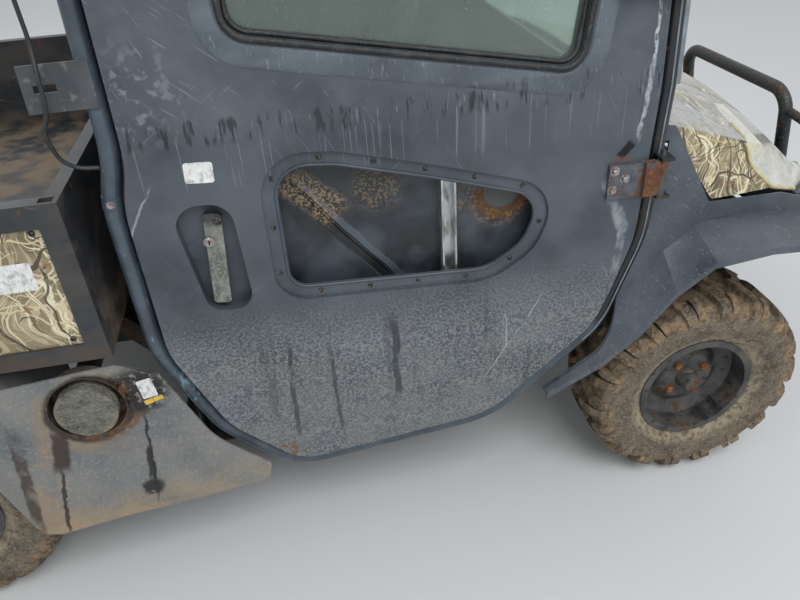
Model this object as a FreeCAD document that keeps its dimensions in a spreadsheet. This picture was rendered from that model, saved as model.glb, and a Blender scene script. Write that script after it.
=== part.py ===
# Side by side utility vehicle with a hard cab and a tipping cargo bed.
# Millimetres. +X forward, +Y to the driver's left, +Z up, origin on the ground at the middle of the box.
import FreeCAD
import Part
import math
import os
import re
from types import SimpleNamespace
from FreeCAD import Placement, Rotation, Vector

doc = FreeCAD.newDocument("side_by_side_utility_vehicle")

# Driving sizes
SIZES = [
    ("front_axle_x", 1045), ("rear_axle_x", -1000), ("hub_z", 310), ("wheel_y", 620),
    ("tyre_radius", 310), ("tyre_width", 252), ("rim_radius", 165), ("rim_width", 206),
    ("barrel_radius", 152), ("barrel_wall", 6), ("disc_inset", 62), ("disc_wall", 8),
    ("bead_gap", 0.3), ("stub_radius", 18), ("bearing_gap", 0.3),
    ("rail_inner_y", 165), ("rail_width", 50), ("rail_depth", 60), ("rail_low_z", 290), ("rail_high_z", 450),
    ("rail_rear_x", -1400), ("rail_front_x", 1340), ("kick_rear_x", -560), ("kick_front_x", 700),
    ("kick_run", 130), ("member_width", 50),
    ("seat_gap", 0.3), ("panel_wall", 5), ("fender_wall_x", -655),
    ("tube_radius", 19), ("door_y", 744), ("door_depth", 60), ("door_skin", 5), ("door_rim", 14),
    ("door_tuck", 31), ("door_lean", 89), ("tube_inset", 32), ("belt_z", 1200), ("door_top_z", 1900),
    ("hinge_x", 812), ("hinge_y", 756), ("hinge_pin_radius", 6), ("hinge_low_z", 1004), ("hinge_high_z", 1430),
    ("hinge_height", 80),
    ("glass_wall", 5), ("floor_z", 350), ("floor_wall", 6), ("floor_half", 655),
    ("roof_half", 668), ("roof_rear_x", -440), ("roof_front_x", 830),
    ("bed_rear_x", -1490), ("bed_front_x", -428), ("bed_half", 770), ("bed_wall", 36), ("bed_floor_z", 820),
    ("bed_floor_wall", 5), ("bed_top_z", 1128), ("bed_low_z", 757), ("bed_rail", 50), ("bed_post", 47),
    ("bed_panel_inset", 8),
    ("bed_pivot_x", -1290), ("bed_pivot_z", 782), ("bed_pin_radius", 12), ("runner_width", 30), ("runner_y", 222),
    ("gate_wall", 24), ("gate_pin_radius", 6), ("gate_pivot_z", 800),
    ("king_y", 500), ("ball_low_z", 236), ("ball_high_z", 392), ("arm_pivot_y", 190), ("arm_pivot_low_z", 275),
    ("arm_pivot_high_z", 420), ("arm_radius", 15), ("arm_reach", 125),
    ("rack_back", 100), ("rack_z", 356), ("rack_radius", 11), ("rack_eye_y", 478),
    ("shock_offset", 75), ("shock_low_y", 400), ("shock_high_y", 300), ("shock_high_z", 700),
    ("coil_radius", 34), ("wire_radius", 6), ("coil_turns", 6),
    ("column_y", 330), ("dash_front_x", 806), ("steer_hub_x", 370), ("steer_hub_z", 1085), ("steer_tilt", 35), ("steer_radius", 175),
    ("steer_grip", 14), ("seat_half_gap", 10), ("seat_half", 540), ("seat_top_z", 600), ("cushion_wall", 100),
    ("engine_front_x", -470), ("engine_length", 370), ("engine_half", 150), ("engine_low_z", 372), ("engine_top_z", 742),
    ("drive_half", 130), ("drive_low_z", 235), ("drive_top_z", 425), ("shaft_radius", 15), ("shaft_z", 316),
    ("lift_low_x", -1120), ("lift_low_z", 540), ("lift_high_x", -900), ("lift_high_z", 775), ("lift_radius", 24),
    ("lift_rod_radius", 12), ("lift_eye_radius", 20), ("lift_pin_radius", 8), ("lift_slot_gap", 2), ("lift_drop", 10.4),
    ("guard_x", 1450), ("guard_half", 275), ("guard_top_z", 975), ("guard_radius", 19),
    ("cap_radius", 68), ("receiver_half", 32), ("receiver_bore", 25.4), ("receiver_z", 480), ("hitch_pin_radius", 8),
    ("cable_radius", 4),
]
sheet = doc.addObject("Spreadsheet::Sheet", "sizes")
for row, (alias, number) in enumerate(SIZES, start=1):
    sheet.set("A%d" % row, alias.replace("_", " "))
    sheet.set("B%d" % row, str(number))
    sheet.setAlias("B%d" % row, alias)
doc.recompute()
S = SimpleNamespace(**{alias: float(sheet.get(alias)) for alias, _ in SIZES})

nodes = []


def keep(label, thing):
    """Give a finished piece its own name and list it for writing."""
    thing.Label = label
    nodes.append(thing)
    return thing


def bind(thing, prop, formula):
    """Tie a property to a formula of the sheet's named sizes."""
    text = re.sub(r"[a-z][a-z_]*", lambda word: "sizes." + word.group(0), str(formula))
    thing.setExpression(prop, text)


def block(name, x, y, z):
    """Box between two corners, each side given as a pair of formulas."""
    box = doc.addObject("Part::Box", name)
    for side, letter, (low, high) in (("Length", "x", x), ("Width", "y", y), ("Height", "z", z)):
        bind(box, side, "(%s) - (%s)" % (high, low))
        bind(box, "Placement.Base." + letter, low)
    return box


TURNS = {"x": Rotation(Vector(0, 0, 1), Vector(1, 0, 0)), "y": Rotation(Vector(0, 0, 1), Vector(0, 1, 0)),
         "z": Rotation()}


def rod(name, radius, axis, low, high, across):
    """Round bar along an axis from low to high, with its two other coordinates in order."""
    made = doc.addObject("Part::Cylinder", name)
    made.Placement = Placement(Vector(), TURNS[axis])
    bind(made, "Radius", radius)
    bind(made, "Height", "(%s) - (%s)" % (high, low))
    places = list(across)
    places.insert("xyz".index(axis), low)
    for letter, place in zip("xyz", places):
        bind(made, "Placement.Base." + letter, place)
    return made


def corners(points):
    """Edges of a closed outline whose corners (u, v, radius) are rounded by tangent arcs."""
    places = [Vector(u, v, 0) for u, v, _ in points]
    ends = []
    for index, (_, _, radius) in enumerate(points):
        here = places[index]
        back = (places[index - 1] - here).normalize()
        ahead = (places[(index + 1) % len(places)] - here).normalize()
        half = back.getAngle(ahead) / 2
        if radius <= 0 or abs(half - math.pi / 2) < 1e-4:
            ends.append((here, None, here))
            continue
        run = radius / math.tan(half)
        middle = (back + ahead).normalize()
        centre = here + middle * (radius / math.sin(half))
        ends.append((here + back * run, centre - middle * radius, here + ahead * run))
    edges = []
    for index, (start, middle, end) in enumerate(ends):
        if middle is not None:
            edges.append(Part.Arc(start, middle, end))
        following = ends[(index + 1) % len(ends)][0]
        if end.distanceToPoint(following) > 1e-6:
            edges.append(Part.LineSegment(end, following))
    return edges


def grown(points, distance):
    """The same outline moved outwards by a distance, its corner radii following."""
    area = sum(points[i - 1][0] * points[i][1] - points[i][0] * points[i - 1][1] for i in range(len(points)))
    sign = 1 if area > 0 else -1
    result = []
    for index, (u, v, radius) in enumerate(points):
        here = Vector(u, v, 0)
        before = (here - Vector(*points[index - 1][:2], 0)).normalize()
        after = (Vector(*points[(index + 1) % len(points)][:2], 0) - here).normalize()
        out_before = Vector(before.y, -before.x, 0) * sign
        out_after = Vector(after.y, -after.x, 0) * sign
        middle = (out_before + out_after).normalize()
        moved = here + middle * (distance / middle.dot(out_before))
        convex = (before.x * after.y - before.y * after.x) * sign > 0
        new_radius = radius + distance if convex else radius - distance
        result.append((moved.x, moved.y, max(new_radius, 0.5) if radius > 0 else 0))
    return result


PLANES = {"x": ("YZ_Plane", 1), "y": ("XZ_Plane", -1), "z": ("XY_Plane", 1)}


def prism(name, axis, outline, low, high, holes=()):
    """Pad of a closed outline along an axis from low to high, with any holes in it."""
    body = doc.addObject("PartDesign::Body", name)
    role, sense = PLANES[axis]
    sketch = body.newObject("Sketcher::SketchObject", name + "_outline")
    plane = [item for item in body.Origin.OriginFeatures if item.Role == role][0]
    sketch.AttachmentSupport = [(plane, "")]
    sketch.MapMode = "FlatFace"
    start = low if sense > 0 else -high
    sketch.AttachmentOffset = Placement(Vector(0, 0, start), Rotation())
    for shape in (outline,) + tuple(holes):
        sketch.addGeometry(corners(shape), False)
    pad = body.newObject("PartDesign::Pad", name + "_pad")
    pad.Profile = sketch
    pad.Length = high - low
    return body


def ring(name, centre, outline, sweep=360):
    """Outline of (y, radius, corner) turned about the Y axis through a centre."""
    body = doc.addObject("PartDesign::Body", name)
    sketch = body.newObject("Sketcher::SketchObject", name + "_section")
    plane = [item for item in body.Origin.OriginFeatures if item.Role == "YZ_Plane"][0]
    sketch.AttachmentSupport = [(plane, "")]
    sketch.MapMode = "FlatFace"
    sketch.addGeometry(corners(outline), False)
    turned = body.newObject("PartDesign::Revolution", name + "_turned")
    turned.Profile = sketch
    turned.ReferenceAxis = (sketch, ["H_Axis"])
    turned.Angle = sweep
    body.Placement = Placement(Vector(*centre), Rotation())
    return body


def fuse(name, *parts):
    joined = doc.addObject("Part::MultiFuse", name)
    joined.Shapes = list(parts)
    return joined


def cut(name, base, *tools):
    """Base less its tools."""
    tool = tools[0] if len(tools) == 1 else fuse(name + "_tools", *tools)
    result = doc.addObject("Part::Cut", name)
    result.Base = base
    result.Tool = tool
    return result


def meet(name, *parts):
    """What all the parts share."""
    shared = doc.addObject("Part::MultiCommon", name)
    shared.Shapes = list(parts)
    return shared


def group(name, *parts):
    """Like pieces that don't touch, kept as one node."""
    several = doc.addObject("Part::Compound", name)
    several.Links = list(parts)
    return several


def mirrored(name, source):
    """The same piece on the other side of the vehicle's middle plane."""
    other = doc.addObject("Part::Mirroring", name)
    other.Source = source
    other.Base = Vector(0, 0, 0)
    other.Normal = Vector(0, 1, 0)
    return other


def feature(name, shape):
    """A shape made by the functions below, as an object of the document."""
    made = doc.addObject("Part::Feature", name)
    made.Shape = shape
    return made


def fuse_shapes(shapes):
    """One solid from overlapping shapes."""
    return shapes[0].multiFuse(shapes[1:]).removeSplitter()


def path(points):
    """Straight runs through (x, y, z, radius), joined by tangent arcs."""
    places = [Vector(*point[:3]) for point in points]
    ends = []
    for index, point in enumerate(points):
        here = places[index]
        if index in (0, len(points) - 1) or point[3] <= 0:
            ends.append((here, None, here))
            continue
        back = (places[index - 1] - here).normalize()
        ahead = (places[index + 1] - here).normalize()
        half = back.getAngle(ahead) / 2
        if abs(half - math.pi / 2) < 1e-4:
            ends.append((here, None, here))
            continue
        run = point[3] / math.tan(half)
        middle = (back + ahead).normalize()
        centre = here + middle * (point[3] / math.sin(half))
        ends.append((here + back * run, centre - middle * point[3], here + ahead * run))
    edges = []
    for index, (start, middle, end) in enumerate(ends):
        if middle is not None:
            edges.append(Part.Arc(start, middle, end).toShape())
        if index + 1 < len(ends):
            following = ends[index + 1][0]
            if end.distanceToPoint(following) > 1e-6:
                edges.append(Part.LineSegment(end, following).toShape())
    return Part.Wire(edges)


def tube(points, radius):
    """Round bar along an open path."""
    route = path(points)
    first = route.Edges[0]
    section = Part.Wire(Part.Circle(first.valueAt(first.FirstParameter),
                                    first.tangentAt(first.FirstParameter), radius).toShape())
    return route.makePipeShell([section], True, False)


def hoop(points, radius):
    """Round bar along a closed path, made as two halves that meet on straight runs."""
    middle = len(points) // 2
    ends = []
    for index in (0, middle):
        place = (Vector(*points[index - 1][:3]) + Vector(*points[index][:3])) * 0.5
        ends.append((place.x, place.y, place.z, 0))
    first = tube([ends[0]] + points[:middle] + [ends[1]], radius)
    second = tube([ends[1]] + points[middle:] + [ends[0]], radius)
    return fuse_shapes([first, second])


def bar(start, end, radius):
    """Straight round bar between two points."""
    line = Vector(*end) - Vector(*start)
    return Part.makeCylinder(radius, line.Length, Vector(*start), line)


def loft(sections):
    """Solid of straight runs between closed sections of points."""
    wires = [Part.makePolygon([Vector(*p) for p in section + section[:1]]) for section in sections]
    return Part.makeLoft(wires, True, True)


# Section of the cab's side: how far out the skin is at a height
low_z = 250
side_heights = [(low_z, S.door_y - S.door_tuck), (700, S.door_y), (S.belt_z, S.door_y),
                (1929, S.door_y - S.door_lean)]


def side_y(z, inset=0):
    """Distance of the cab's side from the middle plane at a height."""
    for (z_low, y_low), (z_high, y_high) in zip(side_heights, side_heights[1:]):
        if z <= z_high or z_high == side_heights[-1][0]:
            return y_low + (y_high - y_low) * (z - z_low) / (z_high - z_low) - inset


def side_slab(name, inner, outer, x_low=-500, x_high=1000):
    """Slab that follows the right side of the cab between two distances inside its skin."""
    run = [(-100, 0), (700, 500), (S.belt_z, 400), (2100, 0)]
    far = [(-side_y(z, outer), z, r) for z, r in run]
    near = [(-side_y(z, inner), z, r) for z, r in reversed(run)]
    return prism(name, "x", far + near, x_low, x_high)


# Outlines of the right side as (x, z, corner radius)
DOOR = [(-292, S.door_top_z, 60), (-292, 1180, 300), (-320, 1080, 300), (-320, 720, 250), (-230, 465, 200),
        (-75, 292, 110), (440, 355, 200), (700, 610, 200), (775, 850, 300), (787, 1200, 300),
        (795, 1450, 200), (715, S.door_top_z, 60)]
WINDOW = [(-65, 1807, 45), (-65, 1386, 45), (607, 1259, 40), (640, 1450, 200), (585, 1807, 45)]
KIDNEY = [(-20, 1128, 60), (100, 1118, 200), (300, 1062, 200), (545, 985, 60), (505, 880, 90), (420, 826, 90),
          (-22, 850, 40)]
KIDNEY_RECESS = grown(KIDNEY, 34)
HANDLE_POCKET = [(-240, 1075, 50), (-118, 1070, 48), (-108, 815, 40), (-205, 818, 40)]
CAVITY = [(-292, 1240, 40), (-292, 1180, 100), (-320, 1080, 300), (-320, 720, 250), (-230, 465, 200),
          (-75, 292, 110), (440, 355, 200), (700, 610, 200), (775, 850, 300), (785, 1160, 40), (700, 1196, 40)]


# Wheels
def wheel(corner, x, side):
    """Tyre and rim of one corner, their outer face away from the middle plane."""
    centre = (x, side * S.wheel_y, S.hub_z)
    half = S.tyre_width / 2
    rim_half = S.rim_width / 2
    bead = S.barrel_radius + S.bead_gap
    seat = rim_half - 6 - S.bead_gap
    tyre = ring("tyre_" + corner, centre, [
        (-seat, bead, 0), (-seat, S.rim_radius + 2, 0), (-half, bead + 85, 60),
        (-half + 16, S.tyre_radius - 10, 14), (0, S.tyre_radius, 600),
        (half - 16, S.tyre_radius - 10, 14), (half, bead + 85, 60), (seat, S.rim_radius + 2, 0), (seat, bead, 0)])
    keep("tyre_" + corner, tyre)
    wall = S.barrel_wall
    barrel = ring("barrel_" + corner, centre, [
        (-rim_half, S.rim_radius, 2), (-rim_half + 6, S.rim_radius, 2), (-rim_half + 6, S.barrel_radius, 0),
        (rim_half - 6, S.barrel_radius, 0), (rim_half - 6, S.rim_radius, 2), (rim_half, S.rim_radius, 2),
        (rim_half, S.barrel_radius - wall, 0), (-rim_half, S.barrel_radius - wall, 0)])
    face = side * (rim_half - S.disc_inset)
    deep = -side * S.disc_wall
    disc = ring("disc_" + corner, centre, [
        (face, S.barrel_radius - 1, 0), (face - side * 22, 105, 12), (face + side * 6, 74, 12), (face + side * 6, 0, 0),
        (face + side * 6 + deep, 0, 0), (face + side * 6 + deep, 70, 12), (face - side * 22 + deep, 101, 12),
        (face + deep, S.barrel_radius - 1, 0)])
    hub = ring("hub_" + corner, centre, [
        (face + side * 46, 0, 0), (face + side * 46, 22, 4), (face + side * 10, 32, 4), (face, 32, 0), (face, 52, 4),
        (face - side * 40, 52, 0), (face - side * 40, S.stub_radius + S.bearing_gap, 0),
        (face - side * 2, S.stub_radius + S.bearing_gap, 0), (face - side * 2, 0, 0)])
    keep("rim_" + corner, fuse("rim_" + corner, barrel, disc, hub))


for corner, x, side in (("front_right", S.front_axle_x, -1), ("front_left", S.front_axle_x, 1),
                        ("rear_right", S.rear_axle_x, -1), ("rear_left", S.rear_axle_x, 1)):
    wheel(corner, x, side)

# Chassis rails, kicked up over both axles
high = S.rail_high_z
low = S.rail_low_z
rear_end = S.kick_rear_x + S.kick_run
front_end = S.kick_front_x + S.kick_run
rail_outline = [
    (S.rail_rear_x, high, 0), (S.kick_rear_x - 20, high, 40), (rear_end - 20, low, 60), (S.kick_front_x, low, 60),
    (front_end, high, 40), (S.rail_front_x, high, 0), (S.rail_front_x, high + S.rail_depth, 0),
    (front_end - 25, high + S.rail_depth, 60), (S.kick_front_x - 25, low + S.rail_depth, 40),
    (rear_end + 5, low + S.rail_depth, 40), (S.kick_rear_x + 5, high + S.rail_depth, 60),
    (S.rail_rear_x, high + S.rail_depth, 0)]
rail_left = prism("rail_left", "y", rail_outline, S.rail_inner_y, S.rail_inner_y + S.rail_width)
keep("chassis_rails", group("rails", rail_left, mirrored("rail_right", rail_left)))

# Members between and outside the rails, as (name, x, z from, z to, width along X)
rail_top = "rail_high_z + rail_depth"
outer_y = "rail_inner_y + rail_width"
MEMBERS = [("middle", 60, "rail_low_z - 25", "rail_low_z"),
           ("nose", "rail_front_x - member_width", "rail_high_z", rail_top)]
members = []
for name, x, z_low, z_high in MEMBERS:
    reach = outer_y if name == "middle" else "rail_inner_y"
    members.append(block("member_" + name, (x, "(%s) + member_width" % x), ("-(%s)" % reach, reach), (z_low, z_high)))
tail = fuse("tail_member", block("tail_cross", ("rail_rear_x", "rail_rear_x + member_width"),
                                 ("-rail_inner_y", "rail_inner_y"), ("rail_high_z", rail_top)),
            block("receiver", ("rail_rear_x - 100", "rail_rear_x"), ("-receiver_half", "receiver_half"),
                  ("receiver_z - receiver_half", "receiver_z + receiver_half")))
members.append(cut("tail_with_receiver", tail,
                   block("receiver_hole", ("rail_rear_x - 110", "rail_rear_x - 4"), ("-receiver_bore", "receiver_bore"),
                         ("receiver_z - receiver_bore", "receiver_z + receiver_bore")),
                   rod("receiver_pin_hole", "hitch_pin_radius", "y", -60, 60, ("rail_rear_x - 50", "receiver_z"))))
# Lift cylinder's lower ears and pin
lift_cross = block("lift_cross", ("lift_low_x - 25", "lift_low_x + 25"), ("-rail_inner_y", "rail_inner_y"),
                   ("rail_high_z", rail_top))
lift_ears = [block("lift_ear_%s" % name, ("lift_low_x - 20", "lift_low_x + 20"), (y, y + 8),
                   (rail_top, "lift_low_z + 22")) for name, y in (("right", -34), ("left", 26))]
members.append(fuse("lift_member", lift_cross, *lift_ears,
                    rod("lift_low_pin", 8, "y", -38, 38, ("lift_low_x", "lift_low_z"))))
# Outriggers carry the cab's side tubes, as (name, x, z from, reach)
for name, x, z_low, reach in (("rear", -50, 247, 663), ("front", 400, 297, 667)):
    arm = block("outrigger_" + name, (x, "%d + member_width" % x), (outer_y, reach), (z_low, z_low + 40))
    members += [arm, mirrored("outrigger_%s_right" % name, arm)]
# Arms behind the cab that carry the rear fenders by their front walls
fender_arm = block("fender_arm", ("fender_wall_x + seat_gap", "fender_wall_x + member_width"), (outer_y, 700),
                   ("rail_high_z + 5", "rail_high_z + 45"))
members += [fender_arm, mirrored("fender_arm_right", fender_arm)]
# Posts that carry the bed's hinge bar and its front rest
pivot_x, pivot_z, pin = S.bed_pivot_x, S.bed_pivot_z, S.bed_pin_radius
post = prism("bed_post", "y", [
    (pivot_x - 60, S.rail_high_z + S.rail_depth, 0), (pivot_x + 60, S.rail_high_z + S.rail_depth, 0),
    (pivot_x + 22, pivot_z + 20, 20), (pivot_x - 22, pivot_z + 20, 20)], S.rail_inner_y, S.rail_inner_y + 45)
hinge_bar = rod("bed_hinge_bar", "bed_pin_radius", "y", "-(runner_y + runner_width + 12)",
                "runner_y + runner_width + 12", ("bed_pivot_x", "bed_pivot_z"))
hinge_frame = fuse("bed_hinge_frame", post, mirrored("bed_post_right", post), hinge_bar)
rest_post = block("rest_post", (-620, -575), ("rail_inner_y", outer_y), (rail_top, "bed_floor_z - 60"))
rest_beam = block("rest_beam", (-620, -575), ("-(runner_y + 90)", "runner_y + 90"),
                  ("bed_floor_z - 60", "bed_floor_z - bed_floor_wall - 40 - seat_gap"))
rest_frame = fuse("bed_rest_frame", rest_post, mirrored("rest_post_right", rest_post), rest_beam)
keep("bed_supports", group("bed_supports", hinge_frame, rest_frame))

# Suspension: two arms a side, a coil spring on a damper, and at the rear a fixed upright
hangers = []


def suspension(end, axle, sense):
    """Arms of one axle; sense is +1 where the damper stands ahead of the axle."""
    pieces = []
    reach = S.arm_reach
    lower = fuse_shapes([
        bar((axle - reach, S.arm_pivot_y, S.arm_pivot_low_z), (axle + reach, S.arm_pivot_y, S.arm_pivot_low_z), 16),
        bar((axle - reach + 20, S.arm_pivot_y, S.arm_pivot_low_z), (axle, S.king_y, S.ball_low_z - 19), S.arm_radius),
        bar((axle + reach - 20, S.arm_pivot_y, S.arm_pivot_low_z), (axle, S.king_y, S.ball_low_z - 19), S.arm_radius),
        bar((axle, S.king_y, S.ball_low_z - 24), (axle, S.king_y, S.ball_low_z), 20),
        bar((axle, S.shock_low_y, 257.7), (axle + sense * (S.shock_offset + 21), S.shock_low_y, 257.7), 10)])
    upper_end = axle - sense * reach
    upper = fuse_shapes([
        bar((axle - sense * 5, S.arm_pivot_y, S.arm_pivot_high_z), (upper_end, S.arm_pivot_y, S.arm_pivot_high_z), 14),
        bar((upper_end + sense * 18, S.arm_pivot_y, S.arm_pivot_high_z), (axle, S.king_y, S.ball_high_z + 13.5), 12),
        bar((axle - sense * 20, S.arm_pivot_y, S.arm_pivot_high_z), (axle, S.king_y, S.ball_high_z + 13.5), 12),
        bar((axle, S.king_y, S.ball_high_z), (axle, S.king_y, S.ball_high_z + 20), 18)])
    for name, shape in (("lower", lower), ("upper", upper)):
        piece = feature("%s_%s_arm" % (end, name), shape)
        pieces += [piece, mirrored("%s_%s_arm_right" % (end, name), piece)]
    for place, x in (("ahead", axle + reach), ("behind", axle - reach - 24)):
        hanger = block("%s_hanger_%s" % (end, place), (x, x + 24), ("rail_inner_y + seat_gap", outer_y),
                       ("arm_pivot_low_z - 24", "rail_high_z"))
        hangers.extend([hanger, mirrored("%s_hanger_%s_right" % (end, place), hanger)])
    return pieces


front_arms = suspension("front", S.front_axle_x, 1)
rear_arms = suspension("rear", S.rear_axle_x, -1)
members += hangers

# Towers that carry the tops of the dampers
for end, axle, sense in (("front", S.front_axle_x, 1), ("rear", S.rear_axle_x, -1)):
    x = axle + sense * S.shock_offset
    tower = prism("%s_tower" % end, "x", [
        (S.rail_inner_y, S.rail_high_z + S.rail_depth, 0), (S.rail_inner_y + S.rail_width, S.rail_high_z + S.rail_depth, 0),
        (S.shock_high_y - 38, S.shock_high_z - 50, 0), (S.shock_high_y - 25, S.shock_high_z - 16, 0),
        (S.shock_high_y + 20, S.shock_high_z - 16, 8), (S.shock_high_y + 20, S.shock_high_z + 20, 10),
        (S.shock_high_y - 55, S.shock_high_z + 20, 10)], x + 20.3, x + 28)
    members += [tower, mirrored("%s_tower_right" % end, tower)]


def damper(x, low, high):
    """Body, rod, spring seats and coil of one damper, standing between two points of its YZ plane."""
    start = Vector(x, *low)
    line = Vector(x, *high) - start
    length = line.Length
    eyes = [Part.makeCylinder(16, 40, Vector(-20, 0, z), Vector(1, 0, 0)) for z in (0, length)]
    body = Part.makeCylinder(22, length * 0.45, Vector(0, 0, 10))
    inner = Part.makeCylinder(9, length - 20, Vector(0, 0, 10))
    seats = [Part.makeCylinder(S.coil_radius + S.wire_radius, 8, Vector(0, 0, z)) for z in (50, length - 40)]
    turns = []
    pitch = (length - 104) / S.coil_turns
    for turn in range(int(S.coil_turns)):
        turns.append(Part.makeTorus(S.coil_radius, S.wire_radius, Vector(0, 0, 62 + pitch * (turn + 0.5))))
    whole = fuse_shapes(eyes + [body, inner] + seats)
    spring = Part.makeCylinder(S.coil_radius - 2, length - 98, Vector(0, 0, 54))
    whole = fuse_shapes([whole, spring] + turns)
    whole.Placement = Placement(start, Rotation(Vector(0, 0, 1), line))
    return whole


dampers = []
for end, axle, sense in (("front", S.front_axle_x, 1), ("rear", S.rear_axle_x, -1)):
    shape = damper(axle + sense * S.shock_offset, (S.shock_low_y, 284), (S.shock_high_y, S.shock_high_z))
    piece = feature("%s_damper" % end, shape)
    dampers += [piece, mirrored("%s_damper_right" % end, piece)]
keep("dampers", group("dampers", *dampers))


def upright(axle, side, steered):
    """Upright between the two ball joints, with its stub axle and, where it steers, its arm."""
    shapes = [
        bar((axle, side * S.king_y, S.ball_low_z + S.seat_gap), (axle, side * S.king_y, S.ball_high_z - S.seat_gap), 18),
        bar((axle, side * (S.king_y - 4), S.hub_z), (axle, side * (S.king_y + 52), S.hub_z), 46),
        bar((axle, side * S.king_y, S.hub_z),
            (axle, side * (S.wheel_y + S.rim_width / 2 - S.disc_inset - 8), S.hub_z), S.stub_radius)]
    if steered:
        eye = Vector(axle - S.rack_back, side * S.rack_eye_y, S.rack_z - 20)
        shapes.append(bar((axle - 10, side * S.king_y, S.hub_z), eye, 8))
        shapes.append(bar(eye - Vector(0, 0, 10), eye + Vector(0, 0, 8), 14))
    return fuse_shapes(shapes)


for name, side in (("right", -1), ("left", 1)):
    keep("knuckle_front_" + name, feature("knuckle_front_" + name, upright(S.front_axle_x, side, True)))
rear_upright = feature("rear_upright", upright(S.rear_axle_x, 1, False))
keep("suspension_arms", group("suspension_arms", rear_upright, mirrored("rear_upright_right", rear_upright),
                              *front_arms, *rear_arms))

# Steering rack: a bar that slides in its housing, with the ball ends over the knuckles' arms
rack_x = S.front_axle_x - S.rack_back
rack = feature("steering_rack", fuse_shapes([
    bar((rack_x, -S.rack_eye_y, S.rack_z), (rack_x, S.rack_eye_y, S.rack_z), S.rack_radius)] + [
    bar((rack_x, side * S.rack_eye_y, S.rack_z - 11), (rack_x, side * S.rack_eye_y, S.rack_z + 14), 14)
    for side in (-1, 1)]))
keep("steering_rack", rack)
housing = cut("rack_housing_bored",
              fuse("rack_housing_whole", rod("rack_housing", 20, "y", -150, 150, (rack_x, "rack_z")),
                   block("rack_strap_left", (rack_x - 15, rack_x + 15), (110, "rail_inner_y"), ("rack_z", "rail_high_z + 12")),
                   block("rack_strap_right", (rack_x - 15, rack_x + 15), ("-rail_inner_y", -110),
                         ("rack_z", "rail_high_z + 12"))),
              rod("rack_bore", "rack_radius + bearing_gap", "y", -200, 200, (rack_x, "rack_z")))
members.append(housing)

# Engine as one plain block, with its feet on the rails, and the drive behind it
engine_rear = "engine_front_x - engine_length"
engine = block("engine_block", (engine_rear, "engine_front_x"), ("-engine_half", "engine_half"),
               ("engine_low_z", "engine_top_z - 30"))
feet = [block("engine_foot_%d" % i, (x, x + 50), ("-rail_inner_y - 25", "rail_inner_y + 25"), (rail_top, rail_top + " + 14"))
        for i, x in enumerate((-820, -700))]
drive = block("drive_case", ("rear_axle_x - 110", engine_rear), ("-drive_half", "drive_half"),
              ("drive_low_z", "drive_top_z"))
rear_case = fuse("rear_case", drive, rod("drive_flange", 52, "y", "-drive_half - 16", "drive_half + 16",
                                         ("rear_axle_x", "hub_z")))
front_case = fuse("front_case", rod("front_case_barrel", 78, "x", "front_axle_x - 70", "front_axle_x + 80", (0, 335)),
                  rod("front_case_flange", 46, "y", -104, 104, ("front_axle_x", 320)),
                  block("front_case_ear", ("front_axle_x - 30", "front_axle_x + 40"), ("-rail_inner_y", "rail_inner_y"),
                        ("rail_high_z + 6", "rail_high_z + 30")),
                  block("front_case_neck", ("front_axle_x - 30", "front_axle_x + 40"), (-40, 40), (380, "rail_high_z + 20")))
keep("drive_cases", group("drive_cases", rear_case, front_case))
half_shafts = [
    feature("half_shaft_rear", fuse_shapes([
        bar((S.rear_axle_x, S.drive_half + 16.3, S.hub_z), (S.rear_axle_x, S.king_y - 18.3, S.hub_z), S.shaft_radius),
        bar((S.rear_axle_x, S.drive_half + 16.3, S.hub_z), (S.rear_axle_x, S.drive_half + 40, S.hub_z), 36),
        bar((S.rear_axle_x, S.king_y - 78, S.hub_z), (S.rear_axle_x, S.king_y - 18.3, S.hub_z), 32)])),
    feature("half_shaft_front", fuse_shapes([
        bar((S.front_axle_x, 105, 320), (S.front_axle_x, S.king_y - 50, S.hub_z), S.shaft_radius),
        bar((S.front_axle_x, 104.3, 320), (S.front_axle_x, 160, 320), 34)]))]
half_shafts += [mirrored(shaft.Name + "_right", shaft) for shaft in half_shafts]
prop = feature("prop_shaft", bar((S.rear_axle_x + 160, 0, S.shaft_z), (S.front_axle_x - 70, 0, S.shaft_z), 18))
keep("drive_shafts", group("drive_shafts", prop, *half_shafts))
silencer = fuse("silencer", rod("silencer_can", 62, "y", -145, 145, (-1290, 590)),
                block("silencer_foot_left", (-1300, -1280), (105, 165), (560, 575)),
                rod("silencer_pipe", 20, "x", -1215, "engine_front_x - engine_length", (90, 590)),
                block("silencer_neck", (-1240, -1200), (70, 110), (570, 610)))
keep("engine_and_silencer", fuse("engine", engine, *feet, silencer))
members.append(prism("skid_plate", "y", [
    (885, 250, 0), (1200, 250, 60), (1335, 400, 0), (1331, 404, 0), (1198, 256, 60), (885, 256, 0)],
    -S.rail_inner_y, S.rail_inner_y))
keep("chassis_members", group("chassis_members", *members))

# Cab frame: a tube round each door opening, cross bars between them and the doors' hinge forks
tube_gap = S.tube_radius + 10
OPENING = grown(DOOR, tube_gap)


def opening_tube(side):
    """Closed tube round one door opening, leaning in with the cab's side."""
    route = [(x, side * side_y(z, S.tube_inset), z, radius) for x, z, radius in OPENING]
    return hoop(route, S.tube_radius)


def hinge_fork(side, z):
    """Tabs above and below a door's hinge barrel, with the pin between them."""
    gap = 0.5
    half = S.hinge_height / 2
    reach = side_y(z, S.tube_inset) - 8
    low_y, high_y = sorted((side * (S.hinge_y + 12), side * reach))
    shapes = [Part.makeBox(30, high_y - low_y, 7, Vector(S.hinge_x - 10, low_y, level))
              for level in (z - half - gap - 7, z + half + gap)]
    pin = Part.makeCylinder(S.hinge_pin_radius, S.hinge_height + 2 * gap + 8,
                            Vector(S.hinge_x, side * S.hinge_y, z - half - gap - 4))
    return shapes + [pin]


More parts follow.
